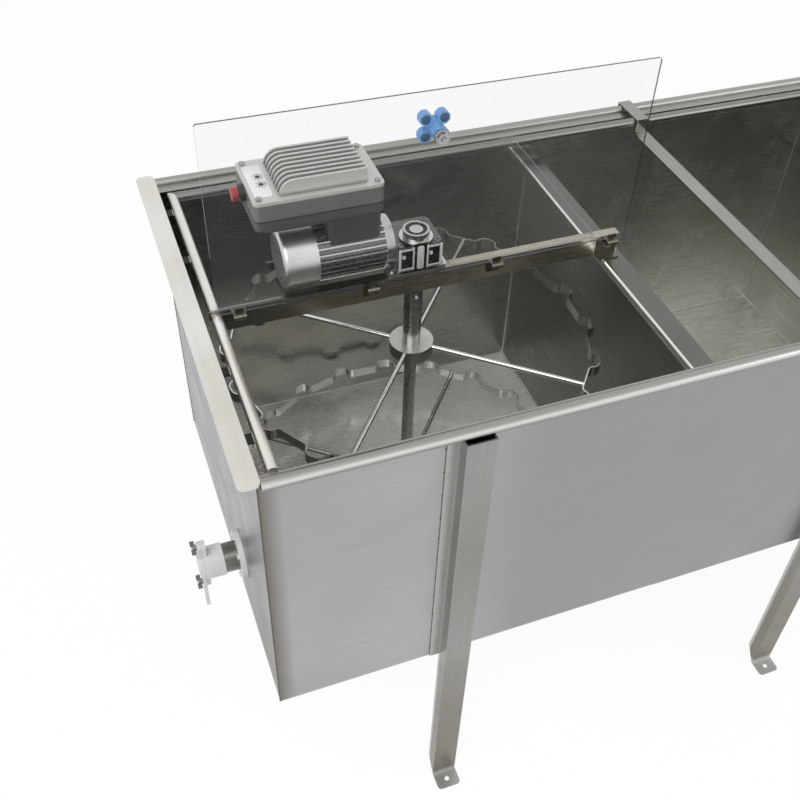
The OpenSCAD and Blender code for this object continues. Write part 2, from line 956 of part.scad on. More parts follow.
// Hub and blades of the fan, seen along the motor.
module blade_profile() {
    difference() {
        union() {
            circle(blade_hub_r, $fn = fine);
            for (k = [0 : blade_n - 1])
                rotate(360 * k / blade_n) translate([blade_hub_r / 2, -blade_t / 2])
                    square([blade_r - blade_hub_r / 2, blade_t]);
        }
        circle(rotor_shaft_r + seat, $fn = mid);
    }
}

module rotor() {
    color("gray") place() translate([0, axis_y, axis_z]) {
        bar_x(body_x0 - blade_l - fan_lap, face_x, rotor_shaft_r);
        translate([body_x0 + (motor_l - stator_l) / 2, 0, 0]) bar_x(0, stator_l, rotor_r);
    }
}

module stator() {
    color("peru") place() translate([body_x0 + (motor_l - stator_l) / 2, axis_y, axis_z])
        ring_x(0, stator_l, motor_r - stator_wall - seat, stator_in, fine);
}

// Inverter tray in two steps on a neck that straddles the motor
module inverter_base() {
    inner = inv_wall;
    color("rosybrown") place() difference() {
        union() {
            translate([neck_x1 - neck_l, axis_y - neck_w / 2, axis_z]) linear_extrude(neck_top - axis_z)
                rounded(neck_l, neck_w, inv_round);
            translate([inv_x0 + tray_inset, inv_y0 + tray_inset, tray_z]) linear_extrude(tray_step)
                rounded(inv_l - 2 * tray_inset, inv_w - 2 * tray_inset, inv_round);
            translate([inv_x0, inv_y0, tray_z + tray_step]) linear_extrude(tray_h - tray_step)
                rounded(inv_l, inv_w, inv_round);
        }
        translate([0, axis_y, axis_z]) bar_x(fan_x0, face_x, motor_r + fin_h + seat, fine);
        translate([inv_x0 + tray_inset + inner, inv_y0 + tray_inset + inner, tray_z + inner])
            linear_extrude(tray_h) rounded(inv_l - 2 * (tray_inset + inner),
                inv_w - 2 * (tray_inset + inner), inv_round);
        translate([inv_x0 + inner, inv_y0 + inner, tray_z + tray_step + inner])
            linear_extrude(tray_h) box_hollow();
        translate([inv_x0, inv_y0, cover_z - 2 * m6]) linear_extrude(2 * m6 + over)
            cover_posts(cover_boss_in, inv_l, inv_w, m6_hole / 2);
    }
}

// Inside of the inverter box, with round posts for its screws
module box_hollow() {
    l = inv_l - 2 * inv_wall;
    w = inv_w - 2 * inv_wall;
    difference() {
        rounded(l, w, inv_round);
        cover_posts(cover_boss_in - inv_wall, l, w, cover_boss_r);
    }
}

// Four rounds near the corners of a rectangle
module cover_posts(inset, l, w, r) {
    for (x = [inset, l - inset], y = [inset, w - inset])
        translate([x, y]) circle(r, $fn = small);
}

// Cover with fins whose left ends are quarter rounds
module inverter_cover() {
    fin_h_cover = cover_h - cover_plate;
    color("rosybrown") place() translate([inv_x0, inv_y0, cover_z]) {
        difference() {
            linear_extrude(cover_plate) rounded(inv_l, inv_w, inv_round);
            translate([inv_wall, inv_wall, -over])
                linear_extrude(cover_plate - inv_wall + over) box_hollow();
            translate([0, 0, -over]) linear_extrude(cover_plate + 2 * over)
                cover_posts(cover_boss_in, inv_l, inv_w, m6_hole / 2);
            translate([0, button_y - inv_y0, button_z - cover_z])
                bar_x(-over, inv_wall + over, stem_r + gap);
        }
        for (k = [0 : fins - 1]) {
            y = fin_edge + k * (inv_w - 2 * fin_edge - fin_cover_t) / (fins - 1);
            translate([inv_l - fin_x_in - fin_run, 0, cover_plate]) along_y(y, y + fin_cover_t) {
                translate([fin_h_cover, 0]) square([fin_run - fin_h_cover - fin_x_in, fin_h_cover]);
                translate([fin_h_cover, 0]) intersection() {
                    circle(fin_h_cover, $fn = mid);
                    translate([-fin_h_cover, 0]) square(fin_h_cover);
                }
            }
        }
    }
}

// Circuit board on posts, with its capacitors and power block
module inverter_board() {
    edge = tray_inset + board_in;
    color("darkgreen") place() translate([inv_x0 + edge, inv_y0 + edge, tray_z + inv_wall]) {
        l = inv_l - 2 * edge;
        w = inv_w - 2 * edge;
        linear_extrude(board_post) cover_posts(board_in, l, w, board_post_r);
        translate([0, 0, board_post]) cube([l, w, board_t]);
        for (k = [1 : 3])
            translate([k * l / 4, w / 4, board_post + board_t])
                cylinder(h = cap_can_h, r = cap_can_r, $fn = small);
        translate([l / 4, w / 2, board_post + board_t]) cube([l / 2, w / 4, board_block_h]);
    }
}

module button_collar() {
    color("black") place() translate([inv_x0 - collar_l, button_y, button_z])
        ring_x(0, collar_l, collar_r, stem_r + run);
}

module stop_button() {
    color("crimson") place() translate([inv_x0 - collar_l - button_stroke - gap, button_y, button_z]) {
        bar_x(-head_l, 0, head_r);
        bar_x(0, button_stroke + collar_l + stem_in, stem_r);
    }
}

// Reel
module reel_shaft() {
    low = floor_top + shaft_foot;
    top = gear_z + gear_h + top_ring_t - shaft_in;
    color("silver") place() translate([reel_x, mid_y, low])
        cylinder(h = top - low, r = shaft_d / 2, $fn = mid);
}

// Sleeve that clamps the reel to the drive, with its set screw
module shaft_sleeve() {
    low = upper_z + hub_boss_t;
    color("silver") place() translate([reel_x, mid_y, low]) {
        ring_z(cap_z - sleeve_top_drop - low, sleeve_r, shaft_d / 2 + seat);
        translate([0, -sleeve_r + over, cap_z - low - sleeve_r]) rotate([90, 0, 0])
            cylinder(h = screw_out, r = screw_r, $fn = small);
    }
}

module reel_hubs() {
    color("silver") place() for (z = [upper_z, lower_z])
        translate([reel_x, mid_y, z - hub_t])
            ring_z(hub_t + hub_boss_t - seat, hub_d / 2, shaft_d / 2 + seat, fine);
}

// Closed outline of a ring: flat stretches between round-cornered pockets
function pocket_steps() = let (half = pocket_w / 2, open = pocket_mouth / 2, d = pocket_depth)
    [[-half, 0], [-half + d / 6, d / 14], [-open - d / 14, d / 4], [-open, d / 2],
     [-open * 0.85, d * 0.74], [-open * 0.6, d * 0.92], [-open * 0.3, d * 0.985], [0, d]];

function mirrored(list) = [for (k = [len(list) - 2 : -1 : 0]) [-list[k][0], list[k][1]]];

function ring_points() = let (steps = pocket_steps(), whole = concat(steps, mirrored(steps)))
    [for (k = [0 : pockets - 1]) let (a = pocket_turn + (pockets - k) * pitch_a)
        for (p = whole) turned([ring_base + p[1], -p[0]], a)];

function turned(p, a) = [p[0] * cos(a) - p[1] * sin(a), p[0] * sin(a) + p[1] * cos(a)];

function normal_at(list, k) = let (n = len(list), d = list[(k + 1) % n] - list[(k + n - 1) % n])
    [-d[1], d[0]] / norm(d);

module ring_strip(z) {
    outer = ring_points();
    inner = [for (k = [0 : len(outer) - 1]) outer[k] - strip_t * normal_at(outer, k)];
    color("silver") place() translate([reel_x, mid_y, z]) linear_extrude(strip_h) difference() {
        polygon(outer);
        polygon(inner);
    }
}

module upper_ring() {
    ring_strip(upper_z);
}

module lower_ring() {
    ring_strip(lower_z);
}

// Spokes that run from the hub drums to the inside of the rings' flat stretches
module reel_spokes() {
    color("silver") place() for (z = [upper_z, lower_z], k = [0 : len(spoke_slots) - 1]) {
        a = pocket_turn + (spoke_slots[k] + 1 / 2) * pitch_a;
        flat_r = ring_base / cos(half_angle()) * cos(pitch_a / 2 - half_angle()) - strip_t;
        translate([reel_x, mid_y, z + spoke_d / 2 + seat]) rotate([0, 0, a])
            bar_x(hub_d / 2 + seat, flat_r - gap, spoke_d / 2, small);
    }
}

// Angle between a pocket's middle and the start of the flat stretch
function half_angle() = atan(pocket_w / 2 / ring_base);

// Flanged bearing for the shaft's foot
module bottom_bearing() {
    color("dimgray") place() translate([reel_x, mid_y, floor_top]) difference() {
        union() {
            cylinder(h = bearing_flange_t, r = bearing_flange_r, $fn = fine);
            cylinder(h = bearing_boss_h, r = bearing_boss_r, $fn = mid);
        }
        translate([0, 0, shaft_foot - gap]) cylinder(h = bearing_boss_h, r = shaft_d / 2 + run, $fn = mid);
    }
}

// Clear rear cover, notched around the drive
module rear_cover() {
    color("lightblue", 0.4) place() translate([0, 0, ledge_top]) linear_extrude(clear_t) difference() {
        translate([cover_x0, cover_y0]) rounded(cover_x1 - cover_x0, cover_y1 - cover_y0, lid_r);
        translate([fan_x0 - notch_gap, cover_y0 - over])
            square([reel_x + plate_w / 2 + notch_gap - fan_x0 + notch_gap,
                axis_y + fan_r + notch_gap - cover_y0 + over]);
    }
}

// Clear lid, standing open
module lid_sheet() {
    color("lightblue", 0.4) place() difference() {
        translate([lid_x0, 0, hinge_z + lid_low]) along_y(lid_y0, lid_y0 + clear_t)
            rounded(lid_x1 - lid_x0, lid_top - hinge_z - lid_low, lid_r);
        translate([knob_x, lid_y0 - over, knob_z]) rotate([-90, 0, 0])
            cylinder(h = clear_t + 2 * over, r = stud_hole, $fn = mid);
    }
}

// Fixed half of each hinge with its pin
module hinge_brackets() {
    span = eye_mid / 2 + gap;
    color("dimgray") place() for (k = [0, 1, 2, 3]) translate([bolt_xs[k], 0, 0]) {
        difference() {
            union() {
                if (k == 1 || k == 2)
                    translate([-bracket_w / 2, beam_y - hook_t, hinge_z - bracket_low])
                        cube([bracket_w, hook_t, bracket_low + eye_arm]);
                for (s = [-1, 1]) translate([s * (span + eye_side / 2) - eye_side / 2, 0, hinge_z]) {
                    translate([0, hinge_y, 0]) bar_x(0, eye_side, eye_r);
                    translate([0, hinge_y, -eye_arm])
                        cube([eye_side, hinge_off - hook_t, 2 * eye_arm]);
                }
            }
            translate([0, beam_y, bolt_z]) bolt_cut();
            translate([0, hinge_y, hinge_z]) bar_x(-bracket_w, bracket_w, pin_r + seat, small);
        }
        translate([0, hinge_y, hinge_z]) bar_x(-span - eye_side, span + eye_side, pin_r, small);
    }
}

// Moving half of each hinge, on the lid's front face
module hinge_straps() {
    color("dimgray") place() for (x = bolt_xs) translate([x, hinge_y, hinge_z])
        difference() {
            union() {
                bar_x(-eye_mid / 2, eye_mid / 2, eye_r);
                translate([-eye_mid / 2, sheet_off - strap_t, 0]) cube([eye_mid, strap_t, lid_low]);
                translate([-strap_w / 2, sheet_off - strap_t, lid_low]) cube([strap_w, strap_t, strap_h]);
            }
            bar_x(-eye_mid, eye_mid, pin_r + run, small);
        }
}

// Four-lobed knob behind the lid, on a stud with a nut and ring in front
module lid_knob() {
    color("cornflowerblue") place() translate([knob_x, lid_y0 + clear_t + gap, knob_z]) rotate([-90, 0, 0])
        difference() {
            union() {
                cylinder(h = knob_hub_t, r = knob_hub_r, $fn = mid);
                translate([0, 0, knob_hub_t]) {
                    cylinder(h = knob_t, r = knob_hub_r + knob_web, $fn = mid);
                    for (a = [0 : 90 : 270])
                        rotate(knob_turn + a) translate([knob_lobe_at, 0, 0]) rotate(180 / knob_lobe_n)
                            cylinder(h = knob_t, r = knob_lobe_r, $fn = knob_lobe_n);
                }
            }
            translate([0, 0, -over]) cylinder(h = knob_bore + over, r = stud_r + seat, $fn = mid);
        }
}

module knob_stud() {
    color("silver") place() translate([knob_x, lid_y0 - gap, knob_z]) rotate([90, 0, 0]) {
        translate([0, 0, -gap - clear_t - gap - knob_bore])
            cylinder(h = gap + clear_t + gap + knob_bore + stud_out, r = stud_r, $fn = mid);
        cylinder(h = knob_ring_t, r = knob_ring_r, $fn = mid);
        translate([0, 0, knob_ring_t]) cylinder(h = knob_nut_t, r = knob_nut_r, $fn = 6);
    }
}

// Ridged bar across the right half, hooked over both rims
module rest_hook(rim) {
    out = rim + over;
    translate([rest_mid - strap_rest_w / 2, 0, 0]) {
        translate([0, -out, rest_z]) cube([strap_rest_w, out + rest_in + rest_strap_t, rest_strap_t]);
        translate([0, -out - rest_strap_t, rest_z - rest_lip])
            cube([strap_rest_w, rest_strap_t, rest_lip + rest_strap_t]);
        translate([0, rest_in, rest_bar_z]) cube([strap_rest_w, rest_strap_t, rest_leg]);
    }
}

module frame_rest() {
    half = rest_w / 2;
    color("gainsboro") place() {
        rest_hook(rim_out);
        to_back() rest_hook(back_out);
        translate([rest_mid, 0, rest_bar_z]) along_y(rest_in, tank_w - rest_in)
            polygon([[-half, 0], [0, rest_ridge], [half, 0], [half, rest_bar_t],
                [0, rest_ridge + rest_bar_t], [-half, rest_bar_t]]);
    }
}

// Honey gate
module at_gate() {
    translate([0, valve_y, gate_z]) children();
}

module valve_flange() {
    color("white") place() at_gate() {
        ring_x(-vf_t, 0, vf_r, bore_r, fine);
        for (k = [0 : vf_bolts - 1])
            rotate([vf_bolt_turn + 360 * k / vf_bolts, 0, 0]) translate([0, vf_bolt_r, 0])
                bar_x(-vf_t - vf_head_t, -vf_t, vf_head_r, small);
    }
}

module valve_nipple() {
    color("gray") place() at_gate() ring_x(vb_x, nipple_x, bore_r + nipple_wall, bore_r, fine);
}

// Body with two ears and the studs for the wing nuts
module valve_body() {
    color("white") place() at_gate() difference() {
        union() {
            bar_x(vb_face, vb_x, bore_r + vb_wall, fine);
            for (s = [-1, 1]) {
                translate([vb_face, 0, s * ear_at]) bar_x(0, ear_t, ear_r);
                translate([vb_face, -ear_r, min(s * ear_at, 0)]) cube([ear_t, 2 * ear_r, ear_at]);
                translate([vb_face - stud_len, 0, s * ear_at]) bar_x(0, stud_len, gate_stud_r, small);
            }
        }
        bar_x(vb_face - over, vb_x + over, bore_r, fine);
    }
}

// Gate that swings about the upper stud, open-slotted round the lower one
module gate_plate() {
    face = vb_face - gap - gate_t;
    color("white") place() at_gate() difference() {
        union() {
            bar_x(face, face + gate_t, gate_r, fine);
            bar_x(face - gate_dome, face, gate_dome_r, fine);
            translate([face, 0, ear_at]) bar_x(0, gate_t, ear_r);
            translate([face, -ear_r, 0]) cube([gate_t, 2 * ear_r, ear_at]);
            translate([face, -handle_w, -ear_at - ear_r]) cube([gate_t, handle_w + ear_r, ear_at]);
            translate([face, -handle_w, -ear_at - handle_l]) cube([gate_t, handle_w, handle_l]);
            translate([face, -handle_w / 2, -ear_at - handle_l]) bar_x(0, gate_t, handle_round);
        }
        translate([0, 0, ear_at]) bar_x(face - over, face + gate_t + over, gate_stud_r + run, small);
        translate([face - over, 0, ear_at]) rotate([0, 90, 0]) slot_ring();
        translate([0, 0, -ear_at]) bar_x(face - over, face + gate_t + over, gate_stud_r + gap + gap, small);
    }
}

// Part of a ring about the gate's pivot, as deep as the gate
module slot_ring() {
    mean = 2 * ear_at;
    half = gate_stud_r + 2 * gap;
    rotate_extrude(angle = slot_a, $fn = fine)
        translate([mean - half, 0]) square([2 * half, gate_t + 2 * over]);
}

module wing_nut() {
    difference() {
        bar_x(-wing_hub_t, 0, wing_hub_r);
        bar_x(-wing_hub_t - over, over, gate_stud_r + run, small);
    }
    for (s = [-1, 1])
        translate([-wing_h, s * (wing_hub_r - over) + min(s, 0) * wing_w, -wing_t / 2])
            cube([wing_h - wing_low, wing_w, wing_t]);
}

module pivot_nut() {
    color("silver") place() at_gate() translate([wing_x, 0, ear_at]) wing_nut();
}

module lock_nut() {
    color("silver") place() at_gate() translate([wing_x, 0, -ear_at]) wing_nut();
}

// Switch behind the beam that senses the lid
module lid_switch() {
    low = ledge_top - beam_t - switch_drop - switch_h;
    color("black") place() translate([beam_x0 + switch_x, beam_y + beam_t, low]) {
        cube([switch_w, switch_d, switch_h]);
        translate([switch_w / 2, switch_d / 2, lead_in]) rotate([-90, 0, 0])
            rotate_extrude(angle = 180, $fn = fine) translate([lead_bend, 0]) circle(lead_r, $fn = small);
    }
}

floor_panel();
front_panel();
back_panel();
left_panel();
right_panel();
front_rim();
back_rim();
left_flange();
right_flange();
back_ledge();
left_ledge();
right_ledge();
divider_panel();
divider_cap();
leg_front_left();
leg_front_right();
leg_back_left();
leg_back_right();
drive_beam();
beam_brackets();
drive_fasteners();
motor_plate();
gear_housing();
gear_cover();
shaft_seal();
worm_wheel();
worm();
drive_bearings();
motor_body();
end_shield();
fan_cover();
cooling_fan();
rotor();
stator();
inverter_base();
inverter_cover();
inverter_board();
button_collar();
stop_button();
reel_shaft();
shaft_sleeve();
reel_hubs();
upper_ring();
lower_ring();
reel_spokes();
bottom_bearing();
rear_cover();
lid_sheet();
hinge_brackets();
hinge_straps();
lid_knob();
knob_stud();
frame_rest();
valve_flange();
valve_nipple();
valve_body();
gate_plate();
pivot_nut();
lock_nut();
lid_switch();
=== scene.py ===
"""Finishes, small pieces, stage and camera for the uncapping tank."""

import math

import bmesh
import bpy
from mathutils import Matrix, Vector


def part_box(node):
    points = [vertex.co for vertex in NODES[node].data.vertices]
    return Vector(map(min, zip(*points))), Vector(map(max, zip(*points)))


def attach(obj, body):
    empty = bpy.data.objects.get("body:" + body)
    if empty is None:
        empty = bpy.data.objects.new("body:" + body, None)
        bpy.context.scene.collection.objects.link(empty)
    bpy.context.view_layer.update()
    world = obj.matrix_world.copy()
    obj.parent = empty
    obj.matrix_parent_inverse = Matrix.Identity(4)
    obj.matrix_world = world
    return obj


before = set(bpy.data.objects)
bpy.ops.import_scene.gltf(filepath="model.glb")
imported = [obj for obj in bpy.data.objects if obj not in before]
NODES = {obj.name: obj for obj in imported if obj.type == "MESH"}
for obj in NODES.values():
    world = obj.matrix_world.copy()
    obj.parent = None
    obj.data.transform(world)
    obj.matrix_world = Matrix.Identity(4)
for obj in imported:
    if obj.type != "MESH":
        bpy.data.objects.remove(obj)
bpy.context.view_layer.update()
MM = 0.001

bl_info = {
    "name": "Uncapping Tank",
    "version": (1, 0, 0),
    "blender": (4, 5, 0),
    "location": "View3D > Sidebar > Tank",
    "description": "Dresses the packed uncapping tank with its finishes and small pieces",
    "category": "Object",
}


class TankFinish(bpy.types.PropertyGroup):
    """Colours of the tank and its fittings."""

    wall: bpy.props.FloatVectorProperty(
        name="Wall sheet", description="Brushed stainless of the walls",
        subtype="COLOR", size=3, default=(0.45, 0.45, 0.465))
    inside: bpy.props.FloatVectorProperty(
        name="Wall inside", description="Stainless of the walls' inner faces",
        subtype="COLOR", size=3, default=(0.54, 0.54, 0.505))
    # Warm colour of the weld beads and the legs' lower parts. The left end wall also uses it for a painted
    # reflection of the floor near its lower front corner, and the front wall for a darker warm tone at its
    # left corner.
    stain_and_reflection: bpy.props.FloatVectorProperty(
        name="Wall stain", description="Warm tone along the tank's lower edges",
        subtype="COLOR", size=3, default=(0.21, 0.195, 0.165))
    floor: bpy.props.FloatVectorProperty(
        name="Floor sheet", description="Stainless of the tank's floor",
        subtype="COLOR", size=3, default=(0.8, 0.795, 0.765))
    rim: bpy.props.FloatVectorProperty(
        name="Rim", description="Satin stainless of the rim and flanges",
        subtype="COLOR", size=3, default=(0.62, 0.615, 0.59))
    leg: bpy.props.FloatVectorProperty(
        name="Legs", description="Folded sheet of the legs",
        subtype="COLOR", size=3, default=(0.34, 0.338, 0.328))
    beam: bpy.props.FloatVectorProperty(
        name="Beam", description="Folded sheet of the drive beam",
        subtype="COLOR", size=3, default=(0.46, 0.44, 0.38))
    casting: bpy.props.FloatVectorProperty(
        name="Castings", description="Bare aluminium of the motor and gearbox",
        subtype="COLOR", size=3, default=(0.47, 0.475, 0.455))
    inverter: bpy.props.FloatVectorProperty(
        name="Inverter", description="Painted casting of the inverter box",
        subtype="COLOR", size=3, default=(0.49, 0.485, 0.465))
    knob: bpy.props.FloatVectorProperty(
        name="Knob", description="Moulded blue of the lid knob",
        subtype="COLOR", size=3, default=(0.15, 0.37, 0.72))
    gate: bpy.props.FloatVectorProperty(
        name="Gate", description="Moulded white of the honey gate",
        subtype="COLOR", size=3, default=(0.8, 0.8, 0.79))
    clear: bpy.props.FloatVectorProperty(
        name="Clear sheet", description="Tint of the lid and the rear cover",
        subtype="COLOR", size=3, default=(0.24, 0.24, 0.235))


class TankStage(bpy.types.PropertyGroup):
    """Floor, light and camera."""

    lens: bpy.props.FloatProperty(
        name="Lens", description="Focal length of the camera in millimetres", default=45.7, min=10.0)
    shift_x: bpy.props.FloatProperty(
        name="Shift X", description="Sideways shift of the picture", default=-0.0323)
    shift_y: bpy.props.FloatProperty(
        name="Shift Y", description="Upward shift of the picture", default=-0.0025)
    key: bpy.props.FloatProperty(
        name="Key light", description="Power of the large lamp", default=42.0, min=0.0, unit="POWER")
    fill: bpy.props.FloatProperty(
        name="Ambient light", description="Strength of the surrounding light", default=0.62, min=0.0)
    floor: bpy.props.FloatVectorProperty(
        name="Floor", description="Colour of the studio floor",
        subtype="COLOR", size=3, default=(0.9, 0.9, 0.9))


class PlateSizes(bpy.types.PropertyGroup):
    """Sizes of the dial plate on the inverter."""

    width: bpy.props.FloatProperty(
        name="Width", description="Width of the dial plate", default=31 * MM, min=0.01, unit="LENGTH")
    depth: bpy.props.FloatProperty(
        name="Depth", description="Depth of the dial plate", default=98 * MM, min=0.01, unit="LENGTH")
    thickness: bpy.props.FloatProperty(
        name="Thickness", description="Thickness of the dial plate",
        default=0.8 * MM, min=0.0001, unit="LENGTH")
    dial: bpy.props.FloatProperty(
        name="Dial", description="Radius of each printed dial", default=8 * MM, min=0.001, unit="LENGTH")


class Shader:
    """Small helper that builds the nodes of one material or of the world."""

    def __init__(self, owner):
        owner.use_nodes = True
        self.owner = owner
        self.tree = owner.node_tree
        self.bsdf = self.tree.nodes.get("Principled BSDF")

    def node(self, kind, **settings):
        made = self.tree.nodes.new(kind)
        for key, value in settings.items():
            setattr(made, key, value)
        return made

    def link(self, source, target):
        self.tree.links.new(source, target)

    def set(self, **values):
        for key, value in values.items():
            self.bsdf.inputs[key.replace("_", " ")].default_value = value

    def coords(self, scale):
        """Object coordinates in metres, scaled along each axis."""
        place = self.node("ShaderNodeTexCoord")
        mapping = self.node("ShaderNodeMapping")
        mapping.inputs["Scale"].default_value = scale
        self.link(place.outputs["Object"], mapping.inputs["Vector"])
        return mapping.outputs["Vector"]

    def noise(self, scale, detail=3.0, size=1.0, distortion=0.0):
        made = self.node("ShaderNodeTexNoise")
        made.inputs["Scale"].default_value = size
        made.inputs["Detail"].default_value = detail
        made.inputs["Distortion"].default_value = distortion
        self.link(self.coords(scale), made.inputs["Vector"])
        return made.outputs["Fac"]

    def span(self, value, low, high, start=0.3, stop=0.7):
        """Maps a value between start and stop to a number between low and high."""
        made = self.node("ShaderNodeMapRange")
        made.inputs["From Min"].default_value = start
        made.inputs["From Max"].default_value = stop
        made.inputs["To Min"].default_value = low
        made.inputs["To Max"].default_value = high
        self.link(value, made.inputs["Value"])
        return made.outputs["Result"]

    def mix(self, factor, first, second):
        """Mixes two colours, each a tuple or a socket."""
        made = self.node("ShaderNodeMix", data_type="RGBA")
        for key, value in ((6, first), (7, second)):
            if isinstance(value, bpy.types.NodeSocket):
                self.link(value, made.inputs[key])
            else:
                made.inputs[key].default_value = (*value, 1.0)
        self.link(factor, made.inputs[0])
        return made.outputs[2]

    def math(self, operation, first, second):
        """One sum on two values, each a number or a socket."""
        made = self.node("ShaderNodeMath", operation=operation)
        for key, value in enumerate((first, second)):
            if isinstance(value, bpy.types.NodeSocket):
                self.link(value, made.inputs[key])
            else:
                made.inputs[key].default_value = value
        return made.outputs[0]

    def along(self, axis, start, stop):
        """Rises from zero to one between two places along an axis of the tank."""
        parts = self.node("ShaderNodeSeparateXYZ")
        self.link(self.node("ShaderNodeTexCoord").outputs["Object"], parts.inputs[0])
        return self.span(parts.outputs["XYZ".index(axis)], 0.0, 1.0, start, stop)

    def facing(self, axis, sign):
        """One on the faces that look along an axis."""
        parts = self.node("ShaderNodeSeparateXYZ")
        self.link(self.node("ShaderNodeTexCoord").outputs["Normal"], parts.inputs[0])
        return self.math("GREATER_THAN", self.math("MULTIPLY", parts.outputs["XYZ".index(axis)], sign), 0.5)

    def near(self, place, inner, outer, scale=(1.0, 1.0, 1.0)):
        """Falls from one to zero around a place in the tank, or around a line where a scale is zero."""
        gap = self.node("ShaderNodeVectorMath", operation="DISTANCE")
        self.link(self.coords(scale), gap.inputs[0])
        gap.inputs[1].default_value = place
        return self.span(gap.outputs["Value"], 0.0, 1.0, outer, inner)

    def hollow(self, distance):
        """One in deep corners, zero on open faces."""
        shadow = self.node("ShaderNodeAmbientOcclusion", only_local=True)
        shadow.inputs["Distance"].default_value = distance
        return self.span(shadow.outputs["AO"], 1.0, 0.0, 0.25, 0.9)

    def where(self, limits):
        """Product of several limits, each the name of a method and what it takes."""
        total = 1.0
        for name, *values in limits:
            total = self.math("MULTIPLY", getattr(self, name)(*values), total)
        return total

    def colour(self, tone, blends=()):
        """Sets the base colour, after mixing each further colour in at its place."""
        for colour, *limits in blends:
            tone = self.mix(self.where(limits), tone, colour)
        self.link(tone, self.bsdf.inputs["Base Color"])

    def seen_ray(self):
        """One for rays from the camera, from gloss or through clear sheets."""
        path = self.node("ShaderNodeLightPath").outputs
        direct = self.math("MAXIMUM", path["Is Camera Ray"], path["Is Glossy Ray"])
        return self.math("MAXIMUM", direct, path["Is Transmission Ray"])

    def rough(self, socket):
        self.link(socket, self.bsdf.inputs["Roughness"])

    def bump(self, height, strength, distance):
        made = self.node("ShaderNodeBump")
        made.inputs["Strength"].default_value = strength
        made.inputs["Distance"].default_value = distance
        self.link(height, made.inputs["Height"])
        self.link(made.outputs["Normal"], self.bsdf.inputs["Normal"])


def shade(colour, factor):
    """Darkens or lightens a colour."""
    return tuple(min(1.0, part * factor) for part in colour)


BRUSH_X = (4.0, 900.0, 900.0)
BRUSH_Y = (900.0, 4.0, 900.0)
BRUSH_Z = (900.0, 900.0, 4.0)
WARM = (1.02, 0.99, 0.94)
DULL_METAL = 0.25


def brushed(name, colour, brush, rough=(0.24, 0.4), cloud=1.6, blends=(), bump=0.08, dull=()):
    """Brushed sheet: fine grain one way, slow clouds of tone, faint handling marks and dull places."""
    made = Shader(bpy.data.materials.new(name))
    grain = made.noise(brush, detail=4.0)
    slow = made.noise((cloud, cloud, cloud), detail=2.0, size=1.4)
    marks = made.noise((9.0, 9.0, 9.0), detail=5.0, size=1.0, distortion=0.6)
    tint = tuple(c * w for c, w in zip(colour, WARM))
    tone = made.mix(made.span(slow, 0.0, 1.0), shade(colour, 1.04), shade(tint, 0.88))
    made.colour(made.mix(made.span(grain, 0.0, 0.35), tone, shade(colour, 0.7)), blends)
    made.rough(made.math("ADD", made.span(grain, rough[0], rough[1]), made.span(marks, -0.04, 0.07)))
    made.bump(grain, bump, 0.0004)
    made.set(Metallic=1.0, Anisotropic=0.35)
    if dull:
        made.link(made.span(made.where(dull), 1.0, DULL_METAL, 0.0, 1.0), made.bsdf.inputs["Metallic"])
    return made.owner


def cast(name, colour, grain=380.0, rough=(0.32, 0.5), metallic=1.0, strength=0.25, blends=()):
    """As-cast metal with a fine pebble and slight tone changes."""
    made = Shader(bpy.data.materials.new(name))
    pebble = made.noise((grain, grain, grain), detail=3.0)
    slow = made.noise((14.0, 14.0, 14.0), detail=3.0)
    made.colour(made.mix(made.span(slow, 0.0, 1.0), shade(colour, 1.06), shade(colour, 0.86)), blends)
    made.rough(made.span(pebble, rough[0], rough[1]))
    made.bump(pebble, strength, 0.0003)
    made.set(Metallic=metallic)
    return made.owner


def moulded(name, colour, rough=(0.28, 0.4), coat=0.0):
    """Moulded plastic with a faint skin texture and slight tone changes."""
    made = Shader(bpy.data.materials.new(name))
    skin = made.noise((240.0, 240.0, 240.0), detail=2.0)
    slow = made.noise((22.0, 22.0, 22.0), detail=3.0)
    made.colour(made.mix(made.span(slow, 0.0, 1.0), shade(colour, 1.05), shade(colour, 0.9)))
    made.rough(made.span(skin, rough[0], rough[1]))
    made.bump(skin, 0.1, 0.0002)
    made.set(Coat_Weight=coat)
    return made.owner


def polished(name, colour, rough=(0.1, 0.2), rings=(700.0, 6.0, 6.0)):
    """Bright turned or drawn metal."""
    made = Shader(bpy.data.materials.new(name))
    lines = made.noise(rings, detail=3.0)
    slow = made.noise((18.0, 18.0, 18.0), detail=3.0)
    made.colour(made.mix(made.span(slow, 0.0, 1.0), shade(colour, 1.05), shade(colour, 0.85)))
    made.rough(made.span(lines, rough[0], rough[1]))
    made.bump(lines, 0.05, 0.0002)
    made.set(Metallic=1.0)
    return made.owner


CLEAR_COVER = 0.035
SCRATCH_COVER = 0.03


def clear(name, colour, axis, edge, edge_cover):
    """Clear sheet: see-through faces across one axis, edges in a set colour as painted shade and highlight,
    and fine handling scratches.
    """
    made = Shader(bpy.data.materials.new(name))
    scratch = made.noise((60.0, 240.0, 60.0), detail=6.0, distortion=1.5)
    face = made.math("ADD", made.facing(axis, 1), made.facing(axis, -1))
    made.colour(made.mix(face, edge, colour))
    made.rough(made.span(scratch, 0.02, 0.12, 0.55, 0.8))
    sheet = made.span(face, edge_cover, CLEAR_COVER, 0.0, 1.0)
    lines = made.span(scratch, 0.0, SCRATCH_COVER, 0.55, 0.8)
    made.link(made.math("ADD", sheet, lines), made.bsdf.inputs["Alpha"])
    return made.owner


def dress(material, *names):
    """Gives one finish to several carried-over nodes."""
    for name in names:
        held = NODES[name].data.materials
        held.clear()
        held.append(material)


SHARP_ANGLE = math.radians(35)


def piece(name, mesh, body, material):
    """Adds a mesh as a piece that rides on a body."""
    made = bpy.data.objects.new(name, mesh)
    bpy.context.collection.objects.link(made)
    mesh.materials.append(material)
    mesh.shade_smooth()
    mesh.set_sharp_from_angle(angle=SHARP_ANGLE)
    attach(made, body)


